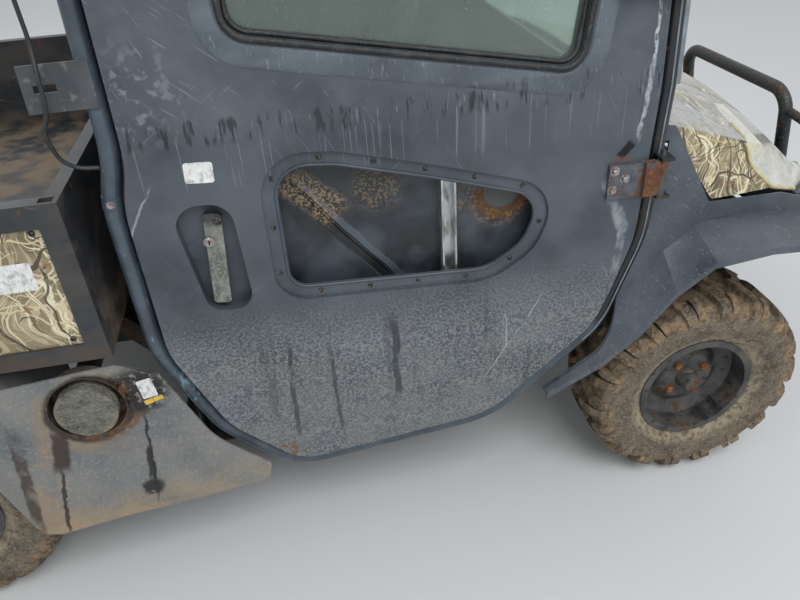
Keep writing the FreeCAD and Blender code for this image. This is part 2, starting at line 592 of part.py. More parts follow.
wall_x = -316
top_y = side_y(1929, S.tube_inset)
belt_y = side_y(1000, S.tube_inset)
frame_shapes = [opening_tube(side) for side in (-1, 1)]
frame_shapes += [bar((x, -top_y, 1929), (x, top_y, 1929), 17) for x in (-270, 690)]
frame_shapes.append(bar((wall_x - 15.3, -belt_y, 1130), (wall_x - 15.3, belt_y, 1130), 15))
for side in (-1, 1):
    for z in (S.hinge_low_z, S.hinge_high_z):
        frame_shapes += hinge_fork(side, z)


def pillar_y(z):
    """How far out the face of the straight rear pillar is at a height."""
    top, low = OPENING[0][1], OPENING[1][1]
    share = (z - low) / (top - low)
    return side_y(low) * (1 - share) + side_y(top) * share - S.tube_inset + S.tube_radius


# Plate behind the right rear pillar that holds the cable, as (z, thickness)
plate = [(-pillar_y(z) - S.seat_gap - depth, z, 0) for z, depth in ((1281, 4), (1365, 4), (1365, 0), (1281, 0))]
cable_plate = cut("cable_plate", prism("plate_sheet", "x", plate, -436, -312),
                  block("plate_slot", (-416, -376), (-760, -660), (1316, 1330)))
keep("cab_frame", group("cab_frame_and_plate", feature("cab_tubes", fuse_shapes(frame_shapes)), cable_plate))

# Floor with its toe board, seat base and pedals
wall = S.floor_wall
floor = prism("floor_plate", "y", [
    (-380, S.floor_z, 0), (560, S.floor_z, 0), (620, 420, 60), (790, 760, 0), (785, 763, 0), (615, 424, 60),
    (557, S.floor_z + wall, 0), (-380, S.floor_z + wall, 0)], -S.floor_half, S.floor_half)
pedals = [prism("pedal_%s" % name, "y", [(594, 392, 0), (546, 500, 2), (540, 498, 2), (586, 388, 0)], y, y + 60)
          for name, y in (("brake", 250), ("throttle", 410))]
keep("cab_floor", fuse("cab_floor", floor, *pedals))
seat_low = S.floor_z + wall
keep("seat_base", prism("seat_base", "y", [
    (-304, seat_low, 0), (-304, S.seat_top_z, 20), (190, S.seat_top_z, 30), (150, seat_low, 20)], -560, 560))
cushions = []
backs = []
for name, sense in (("left", 1), ("right", -1)):
    near, far = sorted((sense * S.seat_half_gap, sense * S.seat_half))
    top = S.seat_top_z + S.seat_gap
    cushions.append(prism("cushion_" + name, "y", [
        (-210, top, 20), (205, top, 20), (215, top + S.cushion_wall, 40), (-210, top + S.cushion_wall, 30)], near, far))
    backs.append(prism("back_" + name, "y", [
        (-304, top, 10), (-230, top, 20), (-200, top + S.cushion_wall + 60, 60), (-240, 1180, 25), (-304, 1180, 25)],
        near, far))
keep("seat_cushions", group("seat_cushions", *cushions))
keep("seat_backs", group("seat_backs", *backs))

# Dashboard, steering column and wheel
dash = prism("dash_body", "y", [
    (620, 830, 40), (560, 900, 30), (590, 1050, 50), (760, 1098, 20), (S.dash_front_x, 1068, 0),
    (790, 780, 0)], -650, 650)
tilt = math.radians(S.steer_tilt)
column = Vector(-math.cos(tilt), 0, math.sin(tilt))
steer_hub = Vector(S.steer_hub_x, S.column_y, S.steer_hub_z)
column_low = steer_hub - column * 245
keep("dashboard", fuse("dashboard_and_column", dash, feature("column_bar", Part.makeCylinder(24, 203, column_low, column))))
rim = Part.makeTorus(S.steer_radius, S.steer_grip, Vector(0, 0, 0))
spokes = [Part.makeBox(S.steer_radius, 30, 9, Vector(0, -15, -16)) for _ in range(3)]
for index, spoke in enumerate(spokes):
    spoke.rotate(Vector(), Vector(0, 0, 1), (90, 210, 330)[index])
boss = Part.makeCylinder(42, 40, Vector(0, 0, -41.7))
shape = fuse_shapes([rim, boss] + spokes)
shape.Placement = Placement(steer_hub, Rotation(Vector(0, 0, 1), column))
keep("steering_wheel", feature("steering_wheel", shape))

# Closed rear wall with its window, windscreen, roof
wall_points = [(z, side_y(z, 68)) for z in (seat_low, 700, S.belt_z, 1911)]
wall_outline = [(y, z, 0) for z, y in wall_points] + [(-y, z, 0) for z, y in reversed(wall_points)]
rear_window = [(-520, 1210, 40), (520, 1210, 40), (490, 1820, 40), (-490, 1820, 40)]
keep("cab_rear_wall", prism("cab_rear_wall", "x", wall_outline, wall_x, wall_x + 5, [rear_window]))
rear_pane = prism("rear_pane", "x", grown(rear_window, -S.seat_gap), wall_x, wall_x + 5)


def front_x(z):
    """Middle of the front pillars at a height."""
    heights = sorted((level, x) for x, level, _ in OPENING if x > 600)
    for (z_low, x_low), (z_high, x_high) in zip(heights, heights[1:]):
        if z <= z_high:
            return x_low + (x_high - x_low) * (z - z_low) / (z_high - z_low)


screen_low = 1122
screen_zs = (screen_low, S.belt_z, 1450, 1911.7)
screen_outline = [(front_x(z) - 2.5, z, 0) for z in screen_zs] + [(front_x(z) + 2.5, z, 0) for z in reversed(screen_zs)]
pane_points = [(z, side_y(z, S.tube_inset) - S.tube_radius - 1.5) for z in (screen_low, S.belt_z, 1911.7)]
pane_outline = [(y, z, 0) for z, y in pane_points] + [(-y, z, 0) for z, y in reversed(pane_points)]
screen = meet("windscreen", prism("screen_sheet", "y", screen_outline, -750, 750),
              prism("screen_sides", "x", pane_outline, 700, 900))
keep("cab_glass", group("cab_glass", rear_pane, screen))
roof_low = 1929 + S.tube_radius + S.seat_gap
roof_side = prism("roof_side", "y", [
    (S.roof_rear_x, roof_low, 0), (S.roof_rear_x, roof_low + 30, 30), (-300, 2025, 120), (560, 2025, 300),
    (S.roof_front_x, roof_low + 20, 15), (S.roof_front_x - 10, roof_low, 0)], -S.roof_half, S.roof_half)
roof_front = prism("roof_front", "x", [
    (-S.roof_half, roof_low, 0), (-S.roof_half, roof_low + 30, 25), (-S.roof_half + 120, 2025, 120),
    (S.roof_half - 120, 2025, 120), (S.roof_half, roof_low + 30, 25), (S.roof_half, roof_low, 0)], -600, 1000)
keep("roof", meet("roof", roof_side, roof_front))

# Cowl between the windscreen and the bonnet, with the bonnet's hinge ears
cowl_x = front_x(screen_low)
cowl_tray = prism("cowl_tray", "y", [
    (S.dash_front_x + S.seat_gap, screen_low - 0.3, 0), (cowl_x + 6, screen_low - 0.3, 0), (cowl_x + 10, 1070, 10),
    (850, 1062, 0), (850, 1055, 0), (S.dash_front_x + S.seat_gap, 1055, 10)], -692.5, 692.5)
hood_axis = (866, 1076)
ears = []
for name, y in (("right", -430), ("left", 422)):
    ear = prism("hood_ear_" + name, "y", [(830, 1056, 0), (849, 1056, 0), (878, 1066, 12), (878, 1087, 11), (854, 1087, 11),
                                          (830, 1066, 4)], y, y + 8)
    ears.append(ear)
    ears.append(rod("hood_pin_" + name, 5, "y", y - 14, y + 22, hood_axis))
keep("cowl", fuse("cowl", cowl_tray, *ears))

# Bonnet: crowned loft, its lower edge cut to the fenders' line, with the lamps in its front corners
# Sections as (x, half width low, half width at the shoulder, shoulder z, crown z)
HOOD = [(856, 668, 622, 1078, 1125), (960, 663, 614, 1045, 1112), (1070, 654, 602, 1007, 1086),
        (1180, 640, 580, 965, 1040), (1280, 606, 530, 912, 980), (1345, 550, 462, 870, 930), (1385, 470, 385, 830, 880)]


def hood_solid(name, wall):
    """The bonnet's whole form, or its inside at a wall's distance."""
    wires = []
    stations = list(HOOD)
    if wall:
        back = 20 / (HOOD[1][0] - HOOD[0][0])
        stations[0] = [a - (b - a) * back for a, b in zip(HOOD[0], HOOD[1])]
        stations[-1] = (HOOD[-1][0] - wall,) + HOOD[-1][1:]
    for x, low_half, half, shoulder, crown in stations:
        a, b, c = low_half - wall, half - wall, crown - wall
        z = shoulder - wall
        arc = Part.Arc(Vector(x, b, z), Vector(x, 0, c), Vector(x, -b, z)).toShape()
        sides = [Vector(x, -b, z), Vector(x, -a, 850), Vector(x, -a, 700), Vector(x, a, 700), Vector(x, a, 850),
                 Vector(x, b, z)]
        edges = [arc] + [Part.LineSegment(p, q).toShape() for p, q in zip(sides, sides[1:])]
        wires.append(Part.Wire(edges))
    return feature(name, Part.makeLoft(wires, True, True))


hood_region = [(800, 1300, 0), (856, 1300, 0), (856, 1112, 0), (1018, 874, 10), (1215, 868, 20), (1300, 840, 40),
               (1500, 835, 0), (1500, 1300, 0)][1:]
LAMP = [(1118, 1030, 20), (1130, 930, 60), (1196, 864, 50), (1300, 836, 0), (1500, 831, 0), (1500, 900, 0), (1330, 955, 60)]
hood_shell = meet("hood_trimmed", cut("hood_shell", hood_solid("hood_form", 0), hood_solid("hood_inside", 5)),
                  prism("hood_region", "y", hood_region, -800, 800))
lamp_holes = [prism("lamp_hole_" + name, "y", LAMP, low_y, low_y + 400) for name, low_y in (("right", -720), ("left", 320))]
barrels = []
for name, y in (("right", -420), ("left", 406)):
    arm = prism("hood_arm_" + name, "y", [(866, 1067, 0), (930, 1070, 6), (930, 1094, 0), (866, 1086, 0)], y, y + 14)
    barrels.append(fuse("hood_barrel_" + name, arm, rod("hood_eye_" + name, 10, "y", y, y + 14, hood_axis)))
hood_holes = [rod("hood_bore", 5.3, "y", -520, 520, hood_axis)]
bonnet = cut("bonnet_bored", fuse("bonnet_arms", cut("bonnet_open", hood_shell, *lamp_holes),
                                  *[meet("hood_arm_in_%d" % i, b, hood_solid("hood_inner_form_%d" % i, 4))
                                    for i, b in enumerate(barrels)]), *hood_holes)
keep("bonnet", bonnet)
lenses = [cut("lens_" + name, meet("lens_block_" + name, hood_solid("lens_form_" + name, 0),
                                   prism("lens_region_" + name, "y", grown(LAMP, -S.seat_gap), low_y, low_y + 390)),
              hood_solid("lens_back_" + name, 28))
          for name, low_y in (("right", -720), ("left", 330))]
keep("headlamps", group("headlamps", *lenses))

# Front fenders: side panel below the bonnet and a flare over the wheel
PANEL_PLAN = [(500, 716), (860, 714), (1010, 655), (1400, 640)]


def plan_y(plan, x):
    """Distance of a panel from the middle plane at a place along the vehicle."""
    for (x_low, y_low), (x_high, y_high) in zip(plan, plan[1:]):
        if x <= x_high or x_high == plan[-1][0]:
            return y_low + (y_high - y_low) * (x - x_low) / (x_high - x_low)


def plan_strip(name, plan, wall, z_low, z_high):
    """Upright sheet of the right side that follows a plan line."""
    outer = [(x, -y, 60) for x, y in plan]
    inner = [(x, -y + wall, 60) for x, y in reversed(plan)]
    for points in (outer, inner):
        points[0] = points[0][:2] + (0,)
        points[-1] = points[-1][:2] + (0,)
    return prism(name, "z", outer + inner, z_low, z_high)


door_clear = prism("door_clear", "y", grown(DOOR, tube_gap + S.tube_radius + S.seat_gap), -900, -500)
SIDE_PANEL = [(560, 420, 5), (582, 436, 5), (680, 552, 60), (775, 670, 60), (878, 775, 60), (968, 812, 100),
              (1127, 812, 100), (1395, 770, 0), (1395, 832, 0), (1300, 834, 40), (1213, 861, 40), (1012, 867, 12),
              (853, 1102, 8), (780, 1112, 0), (560, 640, 0)]
panel = meet("front_panel", plan_strip("front_strip", PANEL_PLAN, S.panel_wall, 300, 1200),
             prism("front_panel_side", "y", SIDE_PANEL, -900, -500))
# Flare sections as (inner x, inner z, outer x, outer y, outer z)
FLARE = [(575, 434, 585, 760, 424), (680, 556, 712, 800, 540), (775, 676, 800, 800, 618), (878, 780, 877, 800, 717),
         (975, 816, 965, 800, 785), (1127, 820, 1110, 800, 801), (1269, 806, 1255, 795, 790), (1395, 768, 1395, 745, 745)]
sections = []
for x_in, z_in, x_out, y_out, z_out in FLARE:
    y_in = plan_y(PANEL_PLAN, x_in) - 3
    lip = x_out + (x_in - x_out) * 5 / (y_out - y_in)
    sections.append([(x_in, -y_in, z_in), (x_out, -y_out, z_out), (x_out, -y_out, z_out - 18), (lip, -y_out + 5, z_out - 18),
                     (lip, -y_out + 5, z_out - 6), (x_in, -y_in, z_in - 6)])
fork_clear = block("fork_clear", (780, 842), (-780, -680), (940, 1070))
fender = cut("front_fender", fuse("front_fender_whole", panel, feature("front_flare", loft(sections))), door_clear, fork_clear)
keep("front_fenders", group("front_fenders", fender, mirrored("front_fender_left", fender)))

# Front face with its grille, and the brush guard
face_side = prism("face_side", "y", [(1296, 560, 20), (1296, 826, 0), (1380, 826, 20), (1396, 700, 60), (1376, 560, 20)], -600, 600)
face_front = prism("face_front", "x", [(-420, 540, 0), (420, 540, 0), (430, 640, 30), (600, 660, 40), (600, 900, 0),
                                       (-600, 900, 0), (-600, 660, 40), (-430, 640, 30)], 1200, 1500)
face_hollow = prism("face_hollow", "y", [(1280, 540, 0), (1280, 820, 0), (1374, 820, 16), (1389, 700, 56), (1369, 540, 0)],
                    -414, 414)
slots = [block("grille_slot_%d" % index, (1300, 1420), (-300, 300), (z, z + 16))
         for index, z in enumerate(range(640, 800, 34))]
face = cut("front_face_open", meet("front_face_whole", face_side, face_front), face_hollow, *slots)
brackets = [block("face_bracket_" + name, ("rail_front_x - 30", 1378), (y, y + 30), (rail_top, 640))
            for name, y in (("right", -200), ("left", 170))]
keep("front_face", fuse("front_face", face, *brackets))
lean = [(S.guard_x + 53, 470), (S.guard_x + 53, 620), (S.guard_x + 8, S.guard_top_z)]
guard = [tube([(x, -S.guard_half, z, 120 if index == 1 else 62) for index, (x, z) in enumerate(lean)]
              + [(x, S.guard_half, z, 120 if index == 1 else 62) for index, (x, z) in reversed(list(enumerate(lean)))],
              S.guard_radius),
         bar((lean[0][0], -S.guard_half, 480), (lean[0][0], S.guard_half, 480), S.guard_radius)]
for side in (-1, 1):
    guard.append(tube([(S.guard_x + 15, side * S.guard_half, 925, 0), (S.guard_x + 30, side * 560, 890, 70),
                       (S.guard_x + 50, side * 560, 690, 70), (S.guard_x + 52, side * S.guard_half, 690, 0)], 13))
    y_low = min(side * S.rail_inner_y, side * (S.rail_inner_y + S.rail_width))
    guard.append(Part.makeBox(lean[0][0] - S.rail_front_x, S.rail_width, 50, Vector(S.rail_front_x, y_low, S.rail_high_z + 5)))
keep("brush_guard", feature("brush_guard", fuse_shapes(guard)))

# Doors
shell_form = meet("door_form", prism("door_outline", "y", DOOR, -800, -550), side_slab("door_slab", 0, S.door_depth))
cavity = meet("door_cavity", prism("cavity_outline", "y", grown(CAVITY, -S.door_rim), -800, -550),
              side_slab("cavity_slab", S.door_skin, S.door_depth + 20))
window_hole = prism("window_hole", "y", WINDOW, -800, -550)
face_y = S.door_y
recess_hole = prism("recess_hole", "y", KIDNEY_RECESS, -face_y - 20, -face_y + 12)
pocket_hole = prism("pocket_hole", "y", HANDLE_POCKET, -face_y - 20, -face_y + 12)
flange_wall = prism("flange_wall", "y", grown(KIDNEY_RECESS, 5), -face_y + 2, -face_y + 12, [KIDNEY_RECESS])
flange = prism("flange", "y", grown(KIDNEY_RECESS, 2), -face_y + 8, -face_y + 12, [KIDNEY])
cup_wall = prism("cup_wall", "y", grown(HANDLE_POCKET, 4), -face_y + 2, -face_y + 38, [HANDLE_POCKET])
cup_floor = prism("cup_floor", "y", grown(HANDLE_POCKET, 2), -face_y + 34, -face_y + 38)
door_shell = fuse("door_shell", cut("door_cut", shell_form, cavity, window_hole, recess_hole, pocket_hole),
                  flange_wall, flange, cup_wall, cup_floor)
liner = meet("door_liner", prism("liner_outline", "y", grown(CAVITY, -S.door_rim - S.seat_gap), -800, -550),
             side_slab("liner_slab", S.door_depth - 8, S.door_depth - 3))
right_shell = group("door_shell_and_liner", door_shell, liner)
keep("door_right_shell", right_shell)
keep("door_left_shell", mirrored("door_left_shell", right_shell))
back = -face_y + S.door_depth - 8 - S.seat_gap
channel = prism("window_channel", "z", [
    (323, -face_y + 22, 0), (327, -face_y + 22, 0), (327, back - 4, 0), (352, back - 4, 0), (352, -face_y + 22, 0),
    (356, -face_y + 22, 0), (356, back, 0), (323, back, 0)], 720, 1190)
pane = meet("door_pane", prism("pane_outline", "y", grown(WINDOW, -S.seat_gap), -800, -550),
            side_slab("pane_slab", 25, 25 + S.glass_wall))
keep("door_right_glass", pane)
lower_pane = prism("lower_pane", "y", grown(KIDNEY_RECESS, -2), -face_y + 3, -face_y + 8)
keep("door_left_glass", group("door_left_glass", mirrored("pane_left", pane), mirrored("lower_pane_left", lower_pane)))
handle = fuse("handle", prism("handle_paddle", "y", [(-194, 836, 8), (-158, 831, 8), (-140, 1044, 8), (-176, 1050, 8)],
                              -face_y + 8, -face_y + 22),
              rod("handle_boss", 16, "y", -face_y + 20, -face_y + 34, (-166, 1020)),
              rod("handle_lock", 9, "y", -face_y + 2, -face_y + 10, (-175, 985)))


def hinge_leaf(name, z):
    """Strap on the door's skin that carries the barrel round the hinge pin."""
    half = S.hinge_height / 2
    near = side_y(z, 0) - 30 if z > S.belt_z else S.door_y
    strap = fuse(name + "_plates", block(name + "_strap", (690, 796), ("-hinge_y + 3", -near), (z - half, z + half)),
                 block(name + "_neck", (770, "hinge_x"), ("-hinge_y - 6", "-hinge_y + 6"), (z - half, z + half)))
    barrel = rod(name + "_barrel", 11, "z", z - half, z + half, ("hinge_x", "-hinge_y"))
    bore = rod(name + "_bore", "hinge_pin_radius + bearing_gap", "z", z - half - 10, z + half + 10, ("hinge_x", "-hinge_y"))
    return cut(name, cut(name + "_bored", fuse(name + "_whole", strap, barrel), bore),
               prism(name + "_seat", "x", [(-side_y(900), 900, 0), (-side_y(S.belt_z), S.belt_z, 0),
                                           (-side_y(1800), 1800, 0), (-400, 1800, 0), (-400, 900, 0)], 600, 796))


leaves = [hinge_leaf("hinge_leaf_low", S.hinge_low_z), hinge_leaf("hinge_leaf_high", S.hinge_high_z)]
keep("door_right_fittings", group("door_right_fittings", handle, channel, *leaves))
keep("door_left_fittings", mirrored("door_left_fittings", group("handle_and_hinges", handle, *leaves)))

# Rear fenders with the fuel filler in the right one
REAR_PLAN = [(-155, 724), (-500, 762), (-690, 788), (-800, 758), (-1400, 758)]
REAR_PANEL = [(-150, 318, 10), (-168, 256, 18), (-360, 250, 0), (-545, 254, 0), (-742, 250, 15), (-790, 400, 60),
              (-830, 540, 80), (-905, 625, 100), (-1095, 625, 100), (-1180, 540, 80), (-1215, 400, 60), (-1250, 300, 10),
              (-1335, 300, 20), (-1345, 668, 10), (-1288, 722, 10), (-440, 722, 30), (-300, 640, 0)]
rear_skin = cut("rear_skin", meet("rear_skin_whole", plan_strip("rear_strip", REAR_PLAN, S.panel_wall, 200, 800),
                                  prism("rear_panel_side", "y", REAR_PANEL, -900, -600)),
                prism("door_clear_rear", "y", grown(DOOR, tube_gap + S.tube_radius + S.seat_gap), -900, -500))
mudguard = prism("mudguard", "y", [
    (-1345, 662, 0), (-1290, 716, 40), (-700, 716, 40), (S.fender_wall_x, 640, 30), (S.fender_wall_x, 300, 0),
    (S.fender_wall_x - S.panel_wall, 300, 0), (S.fender_wall_x - S.panel_wall, 638, 30), (-703, 711, 35), (-1288, 711, 35), (-1341, 659, 0)], -759, -460)
mudguard_left = mirrored("mudguard_left", mudguard)
cap_x, cap_z = -522, 622
cap_y = plan_y(REAR_PLAN, cap_x)
cup = cut("filler_cup", rod("filler_outer", "cap_radius + 20", "y", -cap_y, -cap_y + 44, (cap_x, cap_z)),
          rod("filler_inner", "cap_radius + 15", "y", -cap_y - 30, -cap_y + 39, (cap_x, cap_z)))
cap_hole = rod("filler_hole", "cap_radius + 15", "y", -cap_y - 40, -cap_y + 20, (cap_x, cap_z))
right_skin = fuse("rear_fender_right", cut("rear_skin_filler", rear_skin, cap_hole), cup, mudguard)
left_skin = fuse("rear_fender_left", mirrored("rear_skin_left", rear_skin), mudguard_left)
keep("rear_fenders", group("rear_fenders", right_skin, left_skin))
keep("fuel_cap", fuse("fuel_cap", rod("fuel_cap_body", "cap_radius - 6", "y", -cap_y - 8, -cap_y + 39, (cap_x, cap_z)),
                      rod("fuel_cap_rim", "cap_radius", "y", -cap_y - 18, -cap_y + 8, (cap_x, cap_z))))

# Tipping bed
half, inner = "bed_half", "bed_half - bed_wall"
floor_plate = block("bed_floor", ("bed_rear_x", "bed_front_x"), ("-(%s)" % inner, inner),
                    ("bed_floor_z - bed_floor_wall", "bed_floor_z"))
front_board = block("bed_front_board", ("bed_front_x - 30", "bed_front_x"), ("-(%s)" % inner, inner),
                    ("bed_low_z", "bed_top_z"))
side_board = block("bed_side_board", ("bed_rear_x", "bed_front_x"), (inner, half), ("bed_low_z", "bed_top_z"))
side_recess = block("bed_side_recess", ("bed_rear_x + bed_post", "bed_front_x - bed_post"), ("bed_half - 30", "bed_half + 10"),
                    ("bed_low_z + bed_rail - 8", "bed_top_z - bed_rail"))
pocket = block("bed_pocket", ("bed_front_x - 38", "bed_front_x - 10"), ("bed_half - 30", "bed_half - 8"),
               ("bed_top_z - 60", "bed_top_z + 10"))
pocket_rear = block("bed_pocket_rear", ("bed_rear_x + 10", "bed_rear_x + 38"), ("bed_half - 30", "bed_half - 8"),
                    ("bed_top_z - 60", "bed_top_z + 10"))
left_board = cut("bed_left_board", side_board, side_recess, pocket, pocket_rear)
runner = block("bed_runner", (-1400, -480), ("runner_y", "runner_y + runner_width"),
               ("bed_floor_z - bed_floor_wall - 40", "bed_floor_z - bed_floor_wall"))
runner_eye = rod("bed_runner_eye", 26, "y", "runner_y", "runner_y + runner_width", ("bed_pivot_x", "bed_pivot_z"))
runner_bored = cut("bed_runner_bored", fuse("bed_runner_whole", runner, runner_eye),
                   rod("bed_runner_bore", "bed_pin_radius + bearing_gap", "y", 0, 400, ("bed_pivot_x", "bed_pivot_z")))
lift_lugs = [block("lift_lug_" + name, ("lift_high_x - 20", "lift_high_x + 20"), (y, y + 8),
                   ("lift_high_z - lift_drop - 16", "bed_floor_z - bed_floor_wall")) for name, y in (("right", -34), ("left", 26))]
slot_half = "lift_pin_radius + lift_slot_gap"
lug_slot = fuse("lift_lug_slot", rod("lug_slot_top", slot_half, "y", -40, 40, ("lift_high_x", "lift_high_z")),
                rod("lug_slot_low", slot_half, "y", -40, 40, ("lift_high_x", "lift_high_z - lift_drop")),
                block("lug_slot_side", ("lift_high_x - (%s)" % slot_half, "lift_high_x + (%s)" % slot_half), (-40, 40),
                      ("lift_high_z - lift_drop", "lift_high_z")))
lift_lugs = cut("lift_lugs", fuse("lift_lugs_whole", *lift_lugs), lug_slot)
gate_x = "bed_rear_x - 17"
gate_ears = []
for name, y in (("left", 640), ("right", -670)):
    gate_ears.append(block("gate_ear_" + name, (gate_x + " - 8", "bed_rear_x"), (y, y + 30),
                           ("gate_pivot_z - 8", "gate_pivot_z + 8")))
    gate_ears.append(block("gate_foot_" + name, ("bed_rear_x - 6", "bed_rear_x + 40"), (y, y + 30),
                           ("gate_pivot_z - 8", "bed_floor_z - bed_floor_wall")))
    gate_ears.append(rod("gate_pin_" + name, "gate_pin_radius", "y", y - 40, y + 70, (gate_x, "gate_pivot_z")))
keep("bed", fuse("bed", floor_plate, front_board, left_board, mirrored("bed_right_board", left_board), runner_bored,
                 mirrored("bed_runner_right", runner_bored), lift_lugs, *gate_ears))
side_panel = block("bed_panel", ("bed_rear_x + bed_post + seat_gap", "bed_front_x - bed_post - seat_gap"),
                   ("bed_half - 30", "bed_half - bed_panel_inset"),
                   ("bed_low_z + bed_rail - 8 + seat_gap", "bed_top_z - bed_rail - seat_gap"))
keep("bed_side_panels", group("bed_side_panels", side_panel, mirrored("bed_panel_right", side_panel)))
gate_slab = block("gate_slab", ("bed_rear_x - 8 - gate_wall", "bed_rear_x - 8"), ("-(bed_half - 2)", "bed_half - 2"),
                  ("gate_pivot_z + 16", "bed_top_z - 4"))
gate_recess = block("gate_recess", ("bed_rear_x - 20 - gate_wall", "bed_rear_x - gate_wall"), ("-bed_half + 50", "bed_half - 50"),
                    ("gate_pivot_z + 66", "bed_top_z - 54"))
gate_barrels = []
for index, y in enumerate((-636, -710, 600, 674)):
    gate_barrels.append(rod("gate_barrel_%d" % index, 10, "y", y, y + 34, (gate_x, "gate_pivot_z")))
    gate_barrels.append(block("gate_tab_%d" % index, (gate_x + " - 6", gate_x + " + 6"), (y, y + 34),
                              ("gate_pivot_z", "gate_pivot_z + 20")))
gate_bores = rod("gate_bore", "gate_pin_radius + bearing_gap", "y", -800, 800, (gate_x, "gate_pivot_z"))
keep("tailgate", cut("tailgate", fuse("gate_whole", gate_slab, *gate_barrels), gate_recess, gate_bores))

# Lift cylinder between the frame and the bed; its upper pin runs in the slots of the bed's lugs
low_eye = Vector(S.lift_low_x, 0, S.lift_low_z)
high_eye = Vector(S.lift_high_x, 0, S.lift_high_z)
stroke_line = high_eye - low_eye
lift_turn = Rotation(Vector(0, 0, 1), stroke_line)
closed = stroke_line.Length
barrel = fuse_shapes([Part.makeCylinder(S.lift_radius, closed - 62, Vector(0, 0, 30)),
                      Part.makeCylinder(S.lift_eye_radius, 51, Vector(0, -25.5, 0), Vector(0, 1, 0)),
                      Part.makeCylinder(15, 40, Vector(0, 0, 8))])
barrel = barrel.cut(Part.makeCylinder(8.3, 80, Vector(0, -40, 0), Vector(0, 1, 0)))
barrel = barrel.cut(Part.makeCylinder(S.lift_rod_radius + S.bearing_gap, closed, Vector(0, 0, 50)))
barrel.Placement = Placement(low_eye, lift_turn)
keep("lift_barrel", feature("lift_barrel", barrel))
lift_rod = fuse_shapes([Part.makeCylinder(S.lift_rod_radius, closed - 60, Vector(0, 0, 55)),
                        Part.makeCylinder(S.lift_eye_radius, 51, Vector(0, -25.5, closed), Vector(0, 1, 0)),
                        Part.makeCylinder(S.lift_pin_radius, 76, Vector(0, -38, closed), Vector(0, 1, 0))])
lift_rod.Placement = Placement(low_eye, lift_turn)
keep("lift_rod", feature("lift_rod", lift_rod))

# Tail lamps on the frame's tail
lamps = []
for name, side in (("left", 1), ("right", -1)):
    near, far = sorted((side * 215, side * 420))
    lamps.append(fuse("tail_lamp_" + name, block("tail_lamp_bar_" + name, ("rail_rear_x", "rail_rear_x + 6"), (near, far), (455, 505)),
                      block("tail_lamp_lens_" + name, ("rail_rear_x - 16", "rail_rear_x"), sorted((side * 300, side * 400)), (450, 510))))
keep("tail_lamps", group("tail_lamps", *lamps))

# Cable from the roof, through the plate's slot and down to the rear pillar, as (x, y, z)
CABLE = [(-404, -640, roof_low - 0.5), (-404, -646, 1800), (-402, -690, 1640), (-398, -716, 1500), (-396, -716, 1400),
         (-396, -736.5, 1345), (-398, -740.5, 1290), (-420, -736, 1245), (-410, -724, 1190), (-385, -714, 1167),
         (-349, -712, 1163)]


def cable_radii(points):
    """Bend radius at each point, from the shorter run and the turn there."""
    radii = [0]
    for before, here, after in zip(points, points[1:], points[2:]):
        back = Vector(*before) - Vector(*here)
        ahead = Vector(*after) - Vector(*here)
        turn = math.pi - back.getAngle(ahead)
        radii.append(0.45 * min(back.Length, ahead.Length) / math.tan(turn / 2))
    return radii + [0]


cable_shape = tube([point + (radius,) for point, radius in zip(CABLE, cable_radii(CABLE))], S.cable_radius)
keep("roof_cable", feature("roof_cable", cable_shape))

doc.recompute()
for thing in doc.Objects:
    if "Invalid" in thing.State or "Error" in thing.State:
        raise RuntimeError("%s did not build: %s" % (thing.Name, thing.State))
os.makedirs("parts", exist_ok=True)
for thing in nodes:
    shape = thing.Shape
    if shape.isNull() or not shape.isValid() or not shape.Solids:
        raise RuntimeError("%s has no valid solid" % thing.Label)
for thing in nodes:
    thing.Shape.exportStep("parts/%s.step" % thing.Label)
print(len(nodes), "nodes written")
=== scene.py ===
# Looks of a side by side utility vehicle: hard cab, four mud tyres, tipping bed.
# The frame holds the rigid parts in metres; sizes below are in millimetres unless they say otherwise.
import math
import bmesh
import bpy
from mathutils import Matrix, Vector


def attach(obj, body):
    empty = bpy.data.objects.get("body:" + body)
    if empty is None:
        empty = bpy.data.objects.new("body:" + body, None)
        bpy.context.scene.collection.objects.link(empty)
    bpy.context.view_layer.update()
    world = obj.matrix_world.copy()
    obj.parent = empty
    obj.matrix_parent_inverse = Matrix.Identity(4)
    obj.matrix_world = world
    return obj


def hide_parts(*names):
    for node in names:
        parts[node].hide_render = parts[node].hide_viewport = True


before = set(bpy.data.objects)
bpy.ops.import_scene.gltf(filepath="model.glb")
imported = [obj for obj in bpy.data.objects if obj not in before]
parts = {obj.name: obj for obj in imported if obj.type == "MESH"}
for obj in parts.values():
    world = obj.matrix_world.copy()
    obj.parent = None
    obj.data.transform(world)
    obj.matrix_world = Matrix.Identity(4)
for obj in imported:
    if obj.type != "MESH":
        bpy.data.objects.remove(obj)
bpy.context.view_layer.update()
print("frame loaded, nodes:", len(parts))


def linearColour(code):
    # sRGB hex to the linear values that sockets take
    steps = [int(code[i:i + 2], 16) / 255 for i in (1, 3, 5)]
    return tuple(c / 12.92 if c <= 0.04045 else ((c + 0.055) / 1.055) ** 2.4 for c in steps) + (1.0,)


def addNode(tree, kind, settings=None, values=None, links=None, ramp=None):
    made = tree.nodes.new("ShaderNode" + kind)
    for name, value in (settings or {}).items():
        setattr(made, name, value)
    for name, value in (values or {}).items():
        made.inputs[name].default_value = value
    for name, source in (links or {}).items():
        tree.links.new(source, made.inputs[name])
    for index, (place, code) in enumerate(ramp or []):
        stop = made.color_ramp.elements[index] if index < 2 else made.color_ramp.elements.new(place)
        stop.position = place
        stop.color = linearColour(code)
    return made


